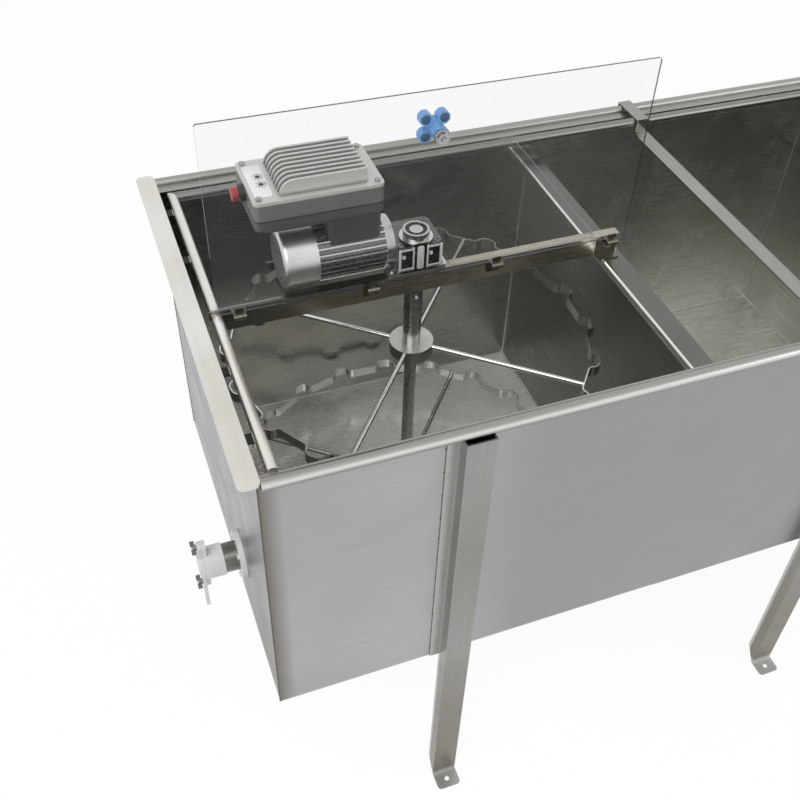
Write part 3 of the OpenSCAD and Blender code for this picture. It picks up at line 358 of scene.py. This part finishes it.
class MeshMaker:
    """Collects rounded plates, rods and rings into one mesh."""

    def __init__(self):
        self.mesh = bmesh.new()

    def finish(self, name):
        bmesh.ops.remove_doubles(self.mesh, verts=self.mesh.verts, dist=1e-7)
        bmesh.ops.recalc_face_normals(self.mesh, faces=self.mesh.faces)
        made = bpy.data.meshes.new(name)
        self.mesh.to_mesh(made)
        self.mesh.free()
        return made

    def loft(self, rings, closed_ends=True):
        """Joins rings of points into a skin."""
        rows = [[self.mesh.verts.new(p) for p in ring] for ring in rings]
        count = len(rows[0])
        for low, high in zip(rows, rows[1:]):
            for k in range(count):
                self.mesh.faces.new((low[k], low[(k + 1) % count], high[(k + 1) % count], high[k]))
        if closed_ends:
            self.mesh.faces.new(reversed(rows[0]))
            self.mesh.faces.new(rows[-1])

    def turned(self, profile, place, sides=32):
        """Turns a profile of (radius, height) about a placed axis."""
        rings = []
        for radius, height in profile:
            ring = []
            for k in range(sides):
                turn = 2 * math.pi * k / sides
                ring.append(place @ Vector((radius * math.cos(turn), radius * math.sin(turn), height)))
            rings.append(ring)
        self.loft(rings)

    def slab(self, outline, place, thickness, edge):
        """Lifts a flat outline into a plate with a softened top edge."""
        centre = sum((Vector(p) for p in outline), Vector((0.0, 0.0))) / len(outline)
        rings = []
        for height, inset in ((0.0, 0.0), (thickness - edge, 0.0), (thickness - 0.3 * edge, 0.3 * edge),
                              (thickness, edge)):
            ring = []
            for p in outline:
                away = Vector(p) - centre
                shrunk = centre + away * max(0.0, 1.0 - inset / max(away.length, 1e-6))
                ring.append(place @ Vector((shrunk.x, shrunk.y, height)))
            rings.append(ring)
        self.loft(rings)


def rounded_outline(width, depth, radius, steps=6):
    """Corner points of a rounded rectangle about its middle."""
    points = []
    for k, (sx, sy) in enumerate(((1, 1), (-1, 1), (-1, -1), (1, -1))):
        for step in range(steps + 1):
            turn = math.pi / 2 * (k + step / steps)
            points.append((sx * (width / 2 - radius) + radius * math.cos(turn),
                           sy * (depth / 2 - radius) + radius * math.sin(turn)))
    return points


def finish_settings():
    """Colours that the user has set."""
    return bpy.context.scene.tank_finish


class TANK_OT_sheet(bpy.types.Operator):
    """Brushed finish of the walls, floor and divider"""

    bl_idname = "tank.sheet"
    bl_label = "Tank sheet"

    def execute(self, context):
        finish = finish_settings()
        wall, inside, stain_and_reflection = finish.wall, finish.inside, finish.stain_and_reflection
        # Painted shade: the front wall's outer face is painted darker towards the right. Towards its left
        # corner it turns a darker warm tone. The inner face takes the inside colour.
        dress(brushed("Front sheet", wall, BRUSH_X, blends=(
            (shade(wall, 0.72), ("along", "X", -0.5, -0.3)),
            (shade(stain_and_reflection, 0.9), ("along", "X", -0.765, -0.8)),
            (inside, ("facing", "Y", 1)))), "front_panel")
        # Painted light and shade on the back wall's inner face: darker near the floor, lighter in the right
        # compartment and lighter still towards the right end, and near-black at the top left under the rear
        # cover.
        dress(brushed("Back sheet", inside, BRUSH_X, (0.18, 0.28), bump=0.01, blends=(
            (shade(inside, 0.6), ("along", "Z", 0.75, 0.5)),
            (shade(inside, 1.3), ("along", "X", 0.02, 0.03)),
            (shade(inside, 1.8), ("along", "X", 0.25, 0.5)),
            (shade(inside, 0.15), ("along", "X", -0.05, -0.45), ("along", "Z", 0.75, 0.9)),
            (wall, ("facing", "Y", 1)))), "back_panel")
        # Painted shade and reflection on the left end wall: the sheet is a dark copy of the wall colour. The
        # warm patch around its lower front corner is a painted reflection of the floor, made less metallic
        # there. Its inner face is painted darker.
        left, front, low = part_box("front_panel")[0]
        corner = ("near", (left, front, low), 0.12, 0.46)
        dress(brushed("End sheet", (0.3, 0.3, 0.325), BRUSH_Y, dull=(corner,), blends=(
            (shade(stain_and_reflection, 0.75), corner),
            (shade(inside, 0.5), ("facing", "X", 1)))), "left_panel")
        dress(brushed("Far end sheet", shade(wall, 0.92), BRUSH_Y, blends=(
            (shade(inside, 0.8), ("facing", "X", -1)),)), "right_panel")
        # Painted light and shade on the divider: its left face is painted darker, and lighter again at its
        # top towards the back.
        dress(brushed("Divider sheet", shade(inside, 0.75), BRUSH_Y, blends=(
            (shade(inside, 0.44), ("facing", "X", -1)),
            (shade(inside, 1.4), ("facing", "X", -1), ("along", "Z", 0.85, 1.05),
             ("along", "Y", -0.05, 0.15)))), "divider_panel")
        # Painted light and shade on the floor: lighter over most of the reel half, where it is also made less
        # metallic to catch the lamps, and darker in the right compartment.
        lit = (("along", "X", -0.75, -0.15), ("along", "X", 0.04, 0.02))
        dress(brushed("Floor sheet", finish.floor, BRUSH_X, (0.2, 0.32), bump=0.01, dull=lit, blends=(
            (shade(finish.floor, 1.2), ("along", "X", -0.5, -0.05)),
            (shade(finish.floor, 0.45), ("along", "X", 0.02, 0.04)))), "floor_panel")
        return {"FINISHED"}


class TANK_OT_rim(bpy.types.Operator):
    """Satin finish of the rim, flanges, ledge tubes and divider shelf"""

    bl_idname = "tank.rim"
    bl_label = "Rim"

    def execute(self, context):
        finish = finish_settings()
        satin = (0.26, 0.38)
        rim = finish.rim
        # Painted highlight and shade on the front rim's roll: a bright band painted along its crest, the
        # inner side painted darker, and the rest a darker copy of the rim colour.
        front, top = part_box("front_rim")[0].y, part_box("front_rim")[1].z
        painted_crest_highlight = ("near", (0.0, front + 1 * MM, top - 6.5 * MM), 1.5 * MM, 5 * MM, (0.0, 1.0, 1.0))
        dress(brushed("Rim sheet", shade(rim, 0.58), BRUSH_X, satin, blends=(
            (shade(rim, 1.1), painted_crest_highlight),
            (shade(rim, 0.45), ("facing", "Y", 1)))), "front_rim")
        dress(brushed("Back rim sheet", shade(rim, 0.6), BRUSH_X, satin), "back_rim")
        # Painted shade: the back ledge tube is a dark copy of the rim colour, and its arms towards the back
        # wall are painted near-black where they lie in shade.
        dress(brushed("Back ledge tube", shade(rim, 0.42), BRUSH_X, satin, blends=(
            (shade(rim, 0.05), ("along", "Y", 0.383, 0.384)),)), "back_ledge")
        # Painted light: the flanges are a lighter copy of the rim colour for their lit top faces.
        dress(brushed("Flange sheet", shade(rim, 1.25), BRUSH_Y, satin, cloud=4.0),
              "left_flange", "right_flange")
        # Painted light and shade: the side ledge tubes are a lighter copy of the rim colour, and their arms
        # towards the end walls are painted near-black where they lie in shade.
        for side, name in ((-1, "left_ledge"), (1, "right_ledge")):
            dress(brushed("Ledge tube", shade(rim, 1.4), BRUSH_Y, satin, cloud=4.0, blends=(
                (shade(rim, 0.05), ("along", "X", side * 0.783, side * 0.784)),)), name)
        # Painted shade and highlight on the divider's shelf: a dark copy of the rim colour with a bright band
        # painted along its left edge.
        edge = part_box("divider_cap")[0].x
        dress(brushed("Shelf sheet", shade(rim, 0.28), BRUSH_Y, satin, cloud=4.0, blends=(
            (shade(rim, 1.4), ("along", "X", edge + 5 * MM, edge + 3 * MM)),)), "divider_cap")
        dress(brushed("Rest sheet", shade(rim, 0.6), BRUSH_Y, satin, cloud=4.0), "frame_rest")
        return {"FINISHED"}


class TANK_OT_legs(bpy.types.Operator):
    """Finish of the four folded legs"""

    bl_idname = "tank.legs"
    bl_label = "Legs"

    def execute(self, context):
        finish = finish_settings()
        leg = finish.leg
        for side, names in ((1, ("leg_back_left", "leg_back_right")),
                            (-1, ("leg_front_left", "leg_front_right"))):
            dress(brushed("Leg sheet", leg, BRUSH_Z, (0.28, 0.42), cloud=3.0, blends=(
                (shade(finish.stain_and_reflection, 1.1), ("along", "Z", 0.5, 0.2)),
                (shade(leg, 1.5), ("along", "Y", side * 0.41, side * 0.405)),
                (shade(leg, 1.6), ("along", "Z", 0.02, 0.005)))), *names)
        return {"FINISHED"}


class TANK_OT_reel(bpy.types.Operator):
    """Finish of the reel"""

    bl_idname = "tank.reel"
    bl_label = "Reel"

    def execute(self, context):
        finish = finish_settings()
        dress(polished("Reel strip", shade(finish.rim, 1.12), (0.16, 0.28), (6.0, 6.0, 500.0)),
              "upper_ring", "lower_ring")
        drawn = (60.0, 60.0, 60.0)
        dress(polished("Reel bar", finish.rim, (0.18, 0.3), drawn), "reel_spokes")
        dress(polished("Reel shaft", shade(finish.rim, 0.85), (0.2, 0.34), drawn),
              "reel_shaft", "shaft_sleeve")
        dress(polished("Reel hub", shade(finish.rim, 0.8), (0.25, 0.4), drawn), "reel_hubs")
        dress(cast("Foot bearing", (0.3, 0.3, 0.31)), "bottom_bearing")
        return {"FINISHED"}


class TANK_OT_drive(bpy.types.Operator):
    """Finish of the beam, gearbox, motor and inverter"""

    bl_idname = "tank.drive"
    bl_label = "Drive"

    def execute(self, context):
        finish = finish_settings()
        # Painted light and shade on the drive beam: darker towards the left, its front web lighter towards
        # the right, and its top flange darker at the left.
        dress(brushed("Beam sheet", finish.beam, BRUSH_X, (0.18, 0.3), cloud=6.0, blends=(
            (shade(finish.beam, 0.6), ("along", "X", -0.5, -0.72)),
            (shade(finish.beam, 2.1), ("along", "X", -0.42, -0.2), ("facing", "Y", -1)),
            (shade(finish.beam, 0.3), ("facing", "Z", 1), ("along", "X", -0.3, -0.4)))), "drive_beam")
        dress(brushed("Plated bracket", (0.2, 0.19, 0.16), BRUSH_Z, (0.25, 0.4), cloud=8.0),
              "beam_brackets", "hinge_brackets", "hinge_straps")
        dress(polished("Bright fastener", (0.42, 0.42, 0.42)), "drive_fasteners", "knob_stud")
        dress(polished("Dark wing nut", (0.2, 0.22, 0.22), (0.25, 0.4)), "pivot_nut", "lock_nut")
        dress(brushed("Motor plate", finish.rim, BRUSH_X), "motor_plate")
        casting = finish.casting
        low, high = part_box("gear_housing")
        middle, web = (low.x + high.x) / 2, 14 * MM
        # Painted shade on the gear housing: front faces that are set back, and the front in a band about the
        # middle, are painted near-black for the shade in the pockets between the ribs, and deep corners are
        # darkened. Its top face below the ring is darker.
        dark = shade(casting, 0.13)
        dress(cast("Gear casting", shade(casting, 1.3), rough=(0.2, 0.34), strength=0.08, blends=(
            (shade(casting, 0.3), ("facing", "Z", 1), ("along", "Z", high.z - 2 * MM, high.z - 3 * MM)),
            (dark, ("facing", "Y", -1), ("along", "Y", low.y + 1 * MM, low.y + 2 * MM)),
            (dark, ("facing", "Y", -1), ("along", "X", middle - web, middle - web + 1 * MM),
             ("along", "X", middle + web, middle + web - 1 * MM)),
            (dark, ("hollow", 14 * MM)))), "gear_housing")
        dress(cast("Shield casting", shade(casting, 1.05), rough=(0.22, 0.34), strength=0.06),
              "end_shield", "gear_cover")
        # Painted light and shade on the motor: the body is a lighter copy of the casting colour and the
        # valleys between its fins are painted dark.
        low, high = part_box("motor_body")
        axis, reach = (low + high) / 2, (high.z - low.z) / 2
        valley_shade = ("near", (0.0, axis.y, axis.z), reach - 4 * MM, reach - 1 * MM, (0.0, 1.0, 1.0))
        dress(cast("Motor casting", shade(casting, 1.4), rough=(0.24, 0.32), strength=0.05, blends=(
            (shade(casting, 0.36), valley_shade),)), "motor_body")
        dress(polished("Fan cover", (0.7, 0.7, 0.69), (0.3, 0.42), (300.0, 8.0, 8.0)), "fan_cover")
        # Painted light and shade on the inverter cover: the sides are a dark copy of the paint colour and
        # turn lighter above the lip, the top faces are a light copy, and deep corners between the fins are
        # painted dark.
        paint = finish.inverter
        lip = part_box("inverter_cover")[0].z + 30 * MM
        dress(cast("Inverter cover", shade(paint, 0.36), 300.0, (0.38, 0.52), metallic=0.35, blends=(
            (shade(paint, 1.1), ("along", "Z", lip, lip + 1 * MM)),
            (shade(paint, 1.25), ("facing", "Z", 1)),
            (shade(paint, 0.25), ("hollow", 10 * MM)))), "inverter_cover")
        # Painted shade: the tray is a dark copy of the same paint.
        dress(cast("Inverter tray", shade(paint, 0.2), 300.0, (0.38, 0.52), metallic=0.35), "inverter_base")
        dress(moulded("Black moulding", (0.018, 0.018, 0.019), (0.35, 0.5)),
              "shaft_seal", "button_collar", "lid_switch", "cooling_fan")
        dress(moulded("Red moulding", (0.36, 0.025, 0.025), coat=0.3), "stop_button")
        return {"FINISHED"}


class TANK_OT_inner(bpy.types.Operator):
    """Finish of the pieces inside the drive"""

    bl_idname = "tank.inner"
    bl_label = "Inner pieces"

    def execute(self, context):
        dress(polished("Bronze wheel", (0.6, 0.42, 0.2), (0.2, 0.35)), "worm_wheel")
        dress(polished("Ground steel", (0.5, 0.5, 0.52)), "worm", "drive_bearings", "rotor")
        dress(brushed("Copper winding", (0.6, 0.3, 0.16), BRUSH_X), "stator")
        dress(moulded("Circuit board", (0.03, 0.16, 0.07)), "inverter_board")
        return {"FINISHED"}


class TANK_OT_clear(bpy.types.Operator):
    """Finish of the lid and the rear cover"""

    bl_idname = "tank.clear"
    bl_label = "Clear sheets"

    def execute(self, context):
        finish = finish_settings()
        # The lid's edges are painted near-black as painted shade, and the rear cover's edges pale grey as a
        # painted highlight.
        dress(clear("Clear lid", finish.clear, "Y", (0.04, 0.04, 0.06), 0.92), "lid_sheet")
        dress(clear("Clear cover", finish.clear, "Z", (0.6, 0.6, 0.58), 0.5), "rear_cover")
        dress(moulded("Blue moulding", finish.knob, coat=0.2), "lid_knob")
        return {"FINISHED"}


class TANK_OT_gate(bpy.types.Operator):
    """Finish of the honey gate"""

    bl_idname = "tank.gate"
    bl_label = "Honey gate"

    def execute(self, context):
        finish = finish_settings()
        dress(moulded("White moulding", finish.gate), "valve_flange", "valve_body", "gate_plate")
        dress(polished("Nipple steel", (0.2, 0.195, 0.175), (0.2, 0.32), (900.0, 6.0, 6.0)), "valve_nipple")
        return {"FINISHED"}


class TANK_OT_plate(bpy.types.Operator):
    """Plain plate with two dials on the inverter's cover"""

    bl_idname = "tank.plate"
    bl_label = "Dial plate"

    def execute(self, context):
        sizes = context.scene.tank_plate
        low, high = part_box("inverter_cover")
        lip, inset, corner = 36 * MM, 7 * MM, 5 * MM
        middle = Vector((low.x + inset + sizes.width / 2, (low.y + high.y) / 2, low.z + lip))
        place = Matrix.Translation(middle)
        plate = MeshMaker()
        plate.slab(rounded_outline(sizes.width, sizes.depth, corner), place, sizes.thickness, 0.2 * MM)
        piece("dial_plate", plate.finish("dial_plate"), "tank",
              moulded("Printed plate", (0.94, 0.95, 0.95), (0.3, 0.4)))
        marks = MeshMaker()
        lift = Matrix.Translation(middle + Vector((0.0, 0.0, sizes.thickness)))
        tick_outline = rounded_outline(4 * MM, 1.4 * MM, 0.4 * MM, 2)
        pointer = sizes.dial * 0.55
        for side in (-1, 1):
            spot = lift @ Matrix.Translation((4 * MM, side * sizes.dial * 1.5, 0.0))
            for degrees in range(-150, 151, 30):
                turn = Matrix.Rotation(math.radians(degrees), 4, "Z")
                tick = spot @ turn @ Matrix.Translation((sizes.dial, 0.0, 0.0))
                marks.slab(tick_outline, tick, 0.15 * MM, 0.05 * MM)
            marks.turned(((pointer, 0.0), (pointer, 0.3 * MM), (sizes.dial * 0.5, 0.4 * MM)), spot)
        piece("dial_marks", marks.finish("dial_marks"), "tank",
              moulded("Printed black", (0.02, 0.02, 0.02), (0.4, 0.5)))
        return {"FINISHED"}


class TANK_OT_seams(bpy.types.Operator):
    """Weld beads at the tank's corners, along its floor and along the legs' flanges"""

    bl_idname = "tank.seams"
    bl_label = "Weld seams"

    def execute(self, context):
        finish = finish_settings()
        low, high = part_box("front_panel")
        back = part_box("back_panel")[1].y
        sheet, corner_bead, inner_bead, leg_bead = 2 * MM, 1.2 * MM, 1.6 * MM, 0.7 * MM
        inner_height, spots = 0.6, 11
        burnt = cast("Weld bead", shade(finish.stain_and_reflection, 0.6), 600.0, (0.35, 0.5))
        seams = MeshMaker()
        for x in (low.x, high.x):
            for y in (low.y, back):
                self.bead(seams, (x, y, low.z), (x, y, high.z), corner_bead)
        piece("corner_seams", seams.finish("corner_seams"), "tank", burnt)
        seams = MeshMaker()
        near_side, far_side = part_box("divider_panel")
        inner_x = (low.x + sheet, near_side.x, far_side.x, high.x - sheet)
        inner_y = (low.y + sheet, back - sheet)
        for x in inner_x:
            self.bead(seams, (x, inner_y[0], low.z), (x, inner_y[1], low.z), inner_bead)
            for y in inner_y:
                self.bead(seams, (x, y, low.z), (x, y, near_side.z + inner_height), inner_bead)
        for y in inner_y:
            for start, stop in (inner_x[:2], inner_x[2:]):
                self.bead(seams, (start, y, low.z), (stop, y, low.z), inner_bead)
        piece("inner_seams", seams.finish("inner_seams"), "tank",
              cast("Ground bead", shade(finish.rim, 1.2), 500.0, (0.3, 0.45)))
        seams = MeshMaker()
        for name, turn in (("leg_front_left", 90), ("leg_front_right", 90),
                           ("leg_back_left", -90), ("leg_back_right", -90)):
            foot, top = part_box(name)
            x = foot.x if foot.x < 0 else top.x
            y = low.y if turn > 0 else back
            self.bead(seams, (x, y, low.z), (x, y, top.z), leg_bead)
            for k in range(spots):
                spot = Vector((x, y, low.z + (k + 0.5) * (top.z - low.z) / spots))
                place = Matrix.Translation(spot) @ Matrix.Rotation(math.radians(turn), 4, "X")
                seams.turned(((2.2 * MM, 0.0), (2 * MM, 0.8 * MM), (0.8 * MM, 1.4 * MM)), place, 12)
        piece("leg_seams", seams.finish("leg_seams"), "tank", burnt)
        return {"FINISHED"}

    def bead(self, seams, start, stop, radius):
        """Bead from one point to another whose width wavers along its run."""
        start = Vector(start)
        run = Vector(stop) - start
        ripple = 6 * MM
        steps = int(run.length / ripple)
        place = Matrix.Translation(start) @ run.to_track_quat("Z", "Y").to_matrix().to_4x4()
        profile = [(radius * (1.0 + 0.2 * math.sin(2.4 * k)), run.length * k / steps)
                   for k in range(steps + 1)]
        seams.turned(profile, place, 8)


class TANK_OT_plugs(bpy.types.Operator):
    """Plugs in the front ends of the side ledge tubes"""

    bl_idname = "tank.plugs"
    bl_label = "Tube plugs"

    def execute(self, context):
        finish = finish_settings()
        tube, sunk = 10 * MM, 1.7 * MM
        forward = Matrix.Rotation(math.pi / 2, 4, "X")
        profile = ((9.7 * MM, 0.0), (9.7 * MM, 0.8 * MM), (8.6 * MM, 1.4 * MM), (4 * MM, 1.6 * MM))
        plugs = MeshMaker()
        for name, side in (("left_ledge", 1), ("right_ledge", -1)):
            low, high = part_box(name)
            x = high.x - tube if side > 0 else low.x + tube
            place = Matrix.Translation((x, low.y + sunk, high.z - tube)) @ forward
            plugs.turned(profile, place)
        piece("tube_plugs", plugs.finish("tube_plugs"), "tank",
              cast("Plug weld", shade(finish.rim, 0.8), 500.0, (0.3, 0.45)))
        return {"FINISHED"}


class TANK_OT_gear(bpy.types.Operator):
    """Ribs and lugs of the gearbox"""

    bl_idname = "tank.gear"
    bl_label = "Gearbox ribs"

    def execute(self, context):
        finish = finish_settings()
        low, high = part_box("gear_housing")
        middle = (low.x + high.x) / 2
        boss, rib_out, rib_edge, lug_in = 5 * MM, 0.9 * MM, 0.7 * MM, 9 * MM
        top = high.z - boss
        ribs = MeshMaker()
        upright = Matrix.Rotation(math.pi / 2, 4, "X")
        for shift, width in ((-13.5, 3), (0, 13), (13.5, 3), (-39.5, 5), (39.5, 5)):
            place = Matrix.Translation((middle + shift * MM, low.y, top - 26 * MM)) @ upright
            outline = rounded_outline(width * MM, 50 * MM, min(width / 2.2, 4) * MM)
            ribs.slab(outline, place, rib_out, rib_edge)
        for shift in (-26, 26):
            for height in (-46.5, -5.5):
                place = Matrix.Translation((middle + shift * MM, low.y, top + height * MM)) @ upright
                ribs.slab(rounded_outline(24 * MM, 3.2 * MM, 1.2 * MM), place, rib_out, rib_edge)
            place = Matrix.Translation((middle + (shift - 5) * MM, low.y + 4 * MM, top - 22 * MM)) @ upright
            ribs.turned(((4 * MM, 0.0), (3.6 * MM, 2.6 * MM), (1.6 * MM, 3 * MM), (1.4 * MM, 1.4 * MM)),
                        place, 24)
        # Painted light: the ribs are a lighter, less metallic copy of the casting colour, bright against the
        # painted shade of the pockets.
        piece("gear_ribs", ribs.finish("gear_ribs"), "tank",
              cast("Bright casting", shade(finish.casting, 1.55), rough=(0.2, 0.3), metallic=0.25,
                   strength=0.06))
        lugs = MeshMaker()
        for x in (low.x + lug_in, high.x - lug_in):
            for y in (low.y + lug_in, high.y - lug_in):
                lugs.turned(((6 * MM, 0.0), (5.6 * MM, 1.6 * MM), (3.4 * MM, 1.6 * MM), (3.2 * MM, 0.2 * MM)),
                            Matrix.Translation((x, y, top)), 24)
        # The lugs are a darker copy of the casting colour, with painted shade making their holes near-black.
        piece("gear_lugs", lugs.finish("gear_lugs"), "tank",
              cast("Lug casting", shade(finish.casting, 0.5), rough=(0.2, 0.3), strength=0.06, blends=(
                  (shade(finish.casting, 0.04), ("hollow", 5 * MM)),)))
        return {"FINISHED"}


class TANK_OT_recess(bpy.types.Operator):
    """Dark pads of painted shade on the sunk faces of the knob's lobes"""

    bl_idname = "tank.recess"
    bl_label = "Knob recesses"

    def execute(self, context):
        finish = finish_settings()
        low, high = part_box("lid_knob")
        middle = (low + high) / 2
        pads = MeshMaker()
        pad, lobe_out, sunk = 8.6 * MM, 23 * MM, 15.9 * MM
        corners = [math.radians(45 * k + 22.5) for k in range(8)]
        outline = [(pad * math.cos(turn), pad * math.sin(turn)) for turn in corners]
        for k in range(4):
            turn = math.radians(45 + 90 * k)
            spot = (middle.x + lobe_out * math.cos(turn), high.y - sunk, middle.z + lobe_out * math.sin(turn))
            place = Matrix.Translation(spot) @ Matrix.Rotation(math.pi / 2, 4, "X")
            pads.slab(outline, place, 0.4 * MM, 0.2 * MM)
        # Painted shade: dark blue pads stand in for the shade in the lobes' recesses.
        piece("knob_recesses", pads.finish("knob_recesses"), "knob",
              moulded("Shaded blue", shade(finish.knob, 0.28)))
        return {"FINISHED"}


class TANK_OT_gasket(bpy.types.Operator):
    """Dark gasket between the inverter's tray and cover"""

    bl_idname = "tank.gasket"
    bl_label = "Inverter gasket"

    def execute(self, context):
        low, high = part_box("inverter_cover")
        middle = (low + high) / 2
        corner = 10
        rings = []
        for grow, height in ((0.5, -1), (0.5, 1), (-4, 1), (-4, -1), (0.5, -1)):
            outline = rounded_outline(high.x - low.x + 2 * grow * MM, high.y - low.y + 2 * grow * MM,
                                      (corner + grow) * MM)
            rings.append([(middle.x + x, middle.y + y, low.z + height * MM) for x, y in outline])
        gasket = MeshMaker()
        gasket.loft(rings, closed_ends=False)
        piece("inverter_gasket", gasket.finish("inverter_gasket"), "tank",
              moulded("Gasket", (0.02, 0.02, 0.02), (0.5, 0.65)))
        return {"FINISHED"}


WHITE = (1.0, 1.0, 1.0, 1.0)
CAMERA_PLACE = (-0.9682, -1.4051, 2.2857)
CAMERA_RIGHT = (0.93268, -0.35806, 0.04367)
CAMERA_AHEAD = (0.28521, 0.65792, -0.69699)
SIDE_SHARE = 0.45


class TANK_OT_stage(bpy.types.Operator):
    """Floor, light and camera"""

    bl_idname = "tank.stage"
    bl_label = "Stage"

    def execute(self, context):
        settings = context.scene.tank_stage
        self.floor(settings)
        self.world(settings)
        self.lamps(settings)
        self.camera(settings)
        return {"FINISHED"}

    def floor(self, settings):
        mesh = bpy.data.meshes.new("studio_floor")
        reach, drop, glow_share = 14.0, 0.5 * MM, 0.86
        corners = [(sx * reach, sy * reach, -drop) for sx, sy in ((-1, -1), (1, -1), (1, 1), (-1, 1))]
        mesh.from_pydata(corners, [], [(0, 1, 2, 3)])
        made = bpy.data.objects.new("studio_floor", mesh)
        bpy.context.collection.objects.link(made)
        shader = Shader(bpy.data.materials.new("Studio floor"))
        shader.set(Base_Color=(*settings.floor, 1.0), Roughness=0.9)
        glow = shader.node("ShaderNodeEmission")
        glow.inputs["Color"].default_value = WHITE
        glow.inputs["Strength"].default_value = 1.04
        both = shader.node("ShaderNodeMixShader")
        shader.link(shader.math("MULTIPLY", shader.seen_ray(), glow_share), both.inputs[0])
        shader.link(shader.bsdf.outputs[0], both.inputs[1])
        shader.link(glow.outputs[0], both.inputs[2])
        shader.link(both.outputs[0], shader.tree.nodes["Material Output"].inputs["Surface"])
        mesh.materials.append(shader.owner)

    def world(self, settings):
        shader = Shader(bpy.data.worlds.new("Studio"))
        bpy.context.scene.world = shader.owner
        back = shader.tree.nodes["Background"]
        back.inputs["Color"].default_value = WHITE
        level = shader.span(shader.seen_ray(), settings.fill, 1.0, 0.0, 1.0)
        shader.link(level, back.inputs["Strength"])

    def lamps(self, settings):
        for name, spot, aim, size, power in (
                ("Key lamp", (-1.8, -1.6, 3.4), (-0.2, 0.0, 0.9), 2.2, settings.key),
                ("Side lamp", (2.6, -2.2, 2.6), (0.0, 0.0, 0.7), 1.8, settings.key * SIDE_SHARE)):
            lamp = bpy.data.lights.new(name, "AREA")
            lamp.size = size
            lamp.energy = power
            made = bpy.data.objects.new(name, lamp)
            made.location = spot
            made.rotation_euler = (Vector(aim) - Vector(spot)).to_track_quat("-Z", "Y").to_euler()
            bpy.context.collection.objects.link(made)

    def camera(self, settings):
        data = bpy.data.cameras.new("Camera")
        data.sensor_width = 36.0
        data.lens = settings.lens
        data.shift_x = settings.shift_x
        data.shift_y = settings.shift_y
        made = bpy.data.objects.new("Camera", data)
        right, ahead = Vector(CAMERA_RIGHT), Vector(CAMERA_AHEAD).normalized()
        right = (right - ahead * right.dot(ahead)).normalized()
        up = right.cross(ahead)
        turn = Matrix((right, up, -ahead)).transposed()
        made.matrix_world = Matrix.Translation(CAMERA_PLACE) @ turn.to_4x4()
        bpy.context.collection.objects.link(made)
        bpy.context.scene.camera = made
        bpy.context.scene.view_settings.view_transform = "Standard"


class TANK_PT_panel(bpy.types.Panel):
    """Lists the finishes and pieces of the tank"""

    bl_idname = "TANK_PT_panel"
    bl_label = "Uncapping Tank"
    bl_space_type = "VIEW_3D"
    bl_region_type = "UI"
    bl_category = "Tank"

    def draw(self, context):
        layout = self.layout
        for group in (context.scene.tank_finish, context.scene.tank_stage, context.scene.tank_plate):
            for name in group.__annotations__:
                layout.prop(group, name)
        for step in STEPS:
            layout.operator(step.bl_idname)


STEPS = (TANK_OT_stage, TANK_OT_sheet, TANK_OT_rim, TANK_OT_legs, TANK_OT_reel, TANK_OT_drive, TANK_OT_inner,
         TANK_OT_clear, TANK_OT_gate, TANK_OT_plate, TANK_OT_seams, TANK_OT_plugs,
         TANK_OT_gear, TANK_OT_gasket, TANK_OT_recess)
GROUPS = {"tank_finish": TankFinish, "tank_stage": TankStage, "tank_plate": PlateSizes}


def register():
    for made in (*GROUPS.values(), *STEPS, TANK_PT_panel):
        bpy.utils.register_class(made)
    for name, group in GROUPS.items():
        setattr(bpy.types.Scene, name, bpy.props.PointerProperty(type=group))


def unregister():
    for name in GROUPS:
        delattr(bpy.types.Scene, name)
    for made in reversed((*GROUPS.values(), *STEPS, TANK_PT_panel)):
        bpy.utils.unregister_class(made)


def main():
    register()
    for step in STEPS:
        family, name = step.bl_idname.split(".")
        getattr(getattr(bpy.ops, family), name)()


if __name__ == "__main__":
    main()
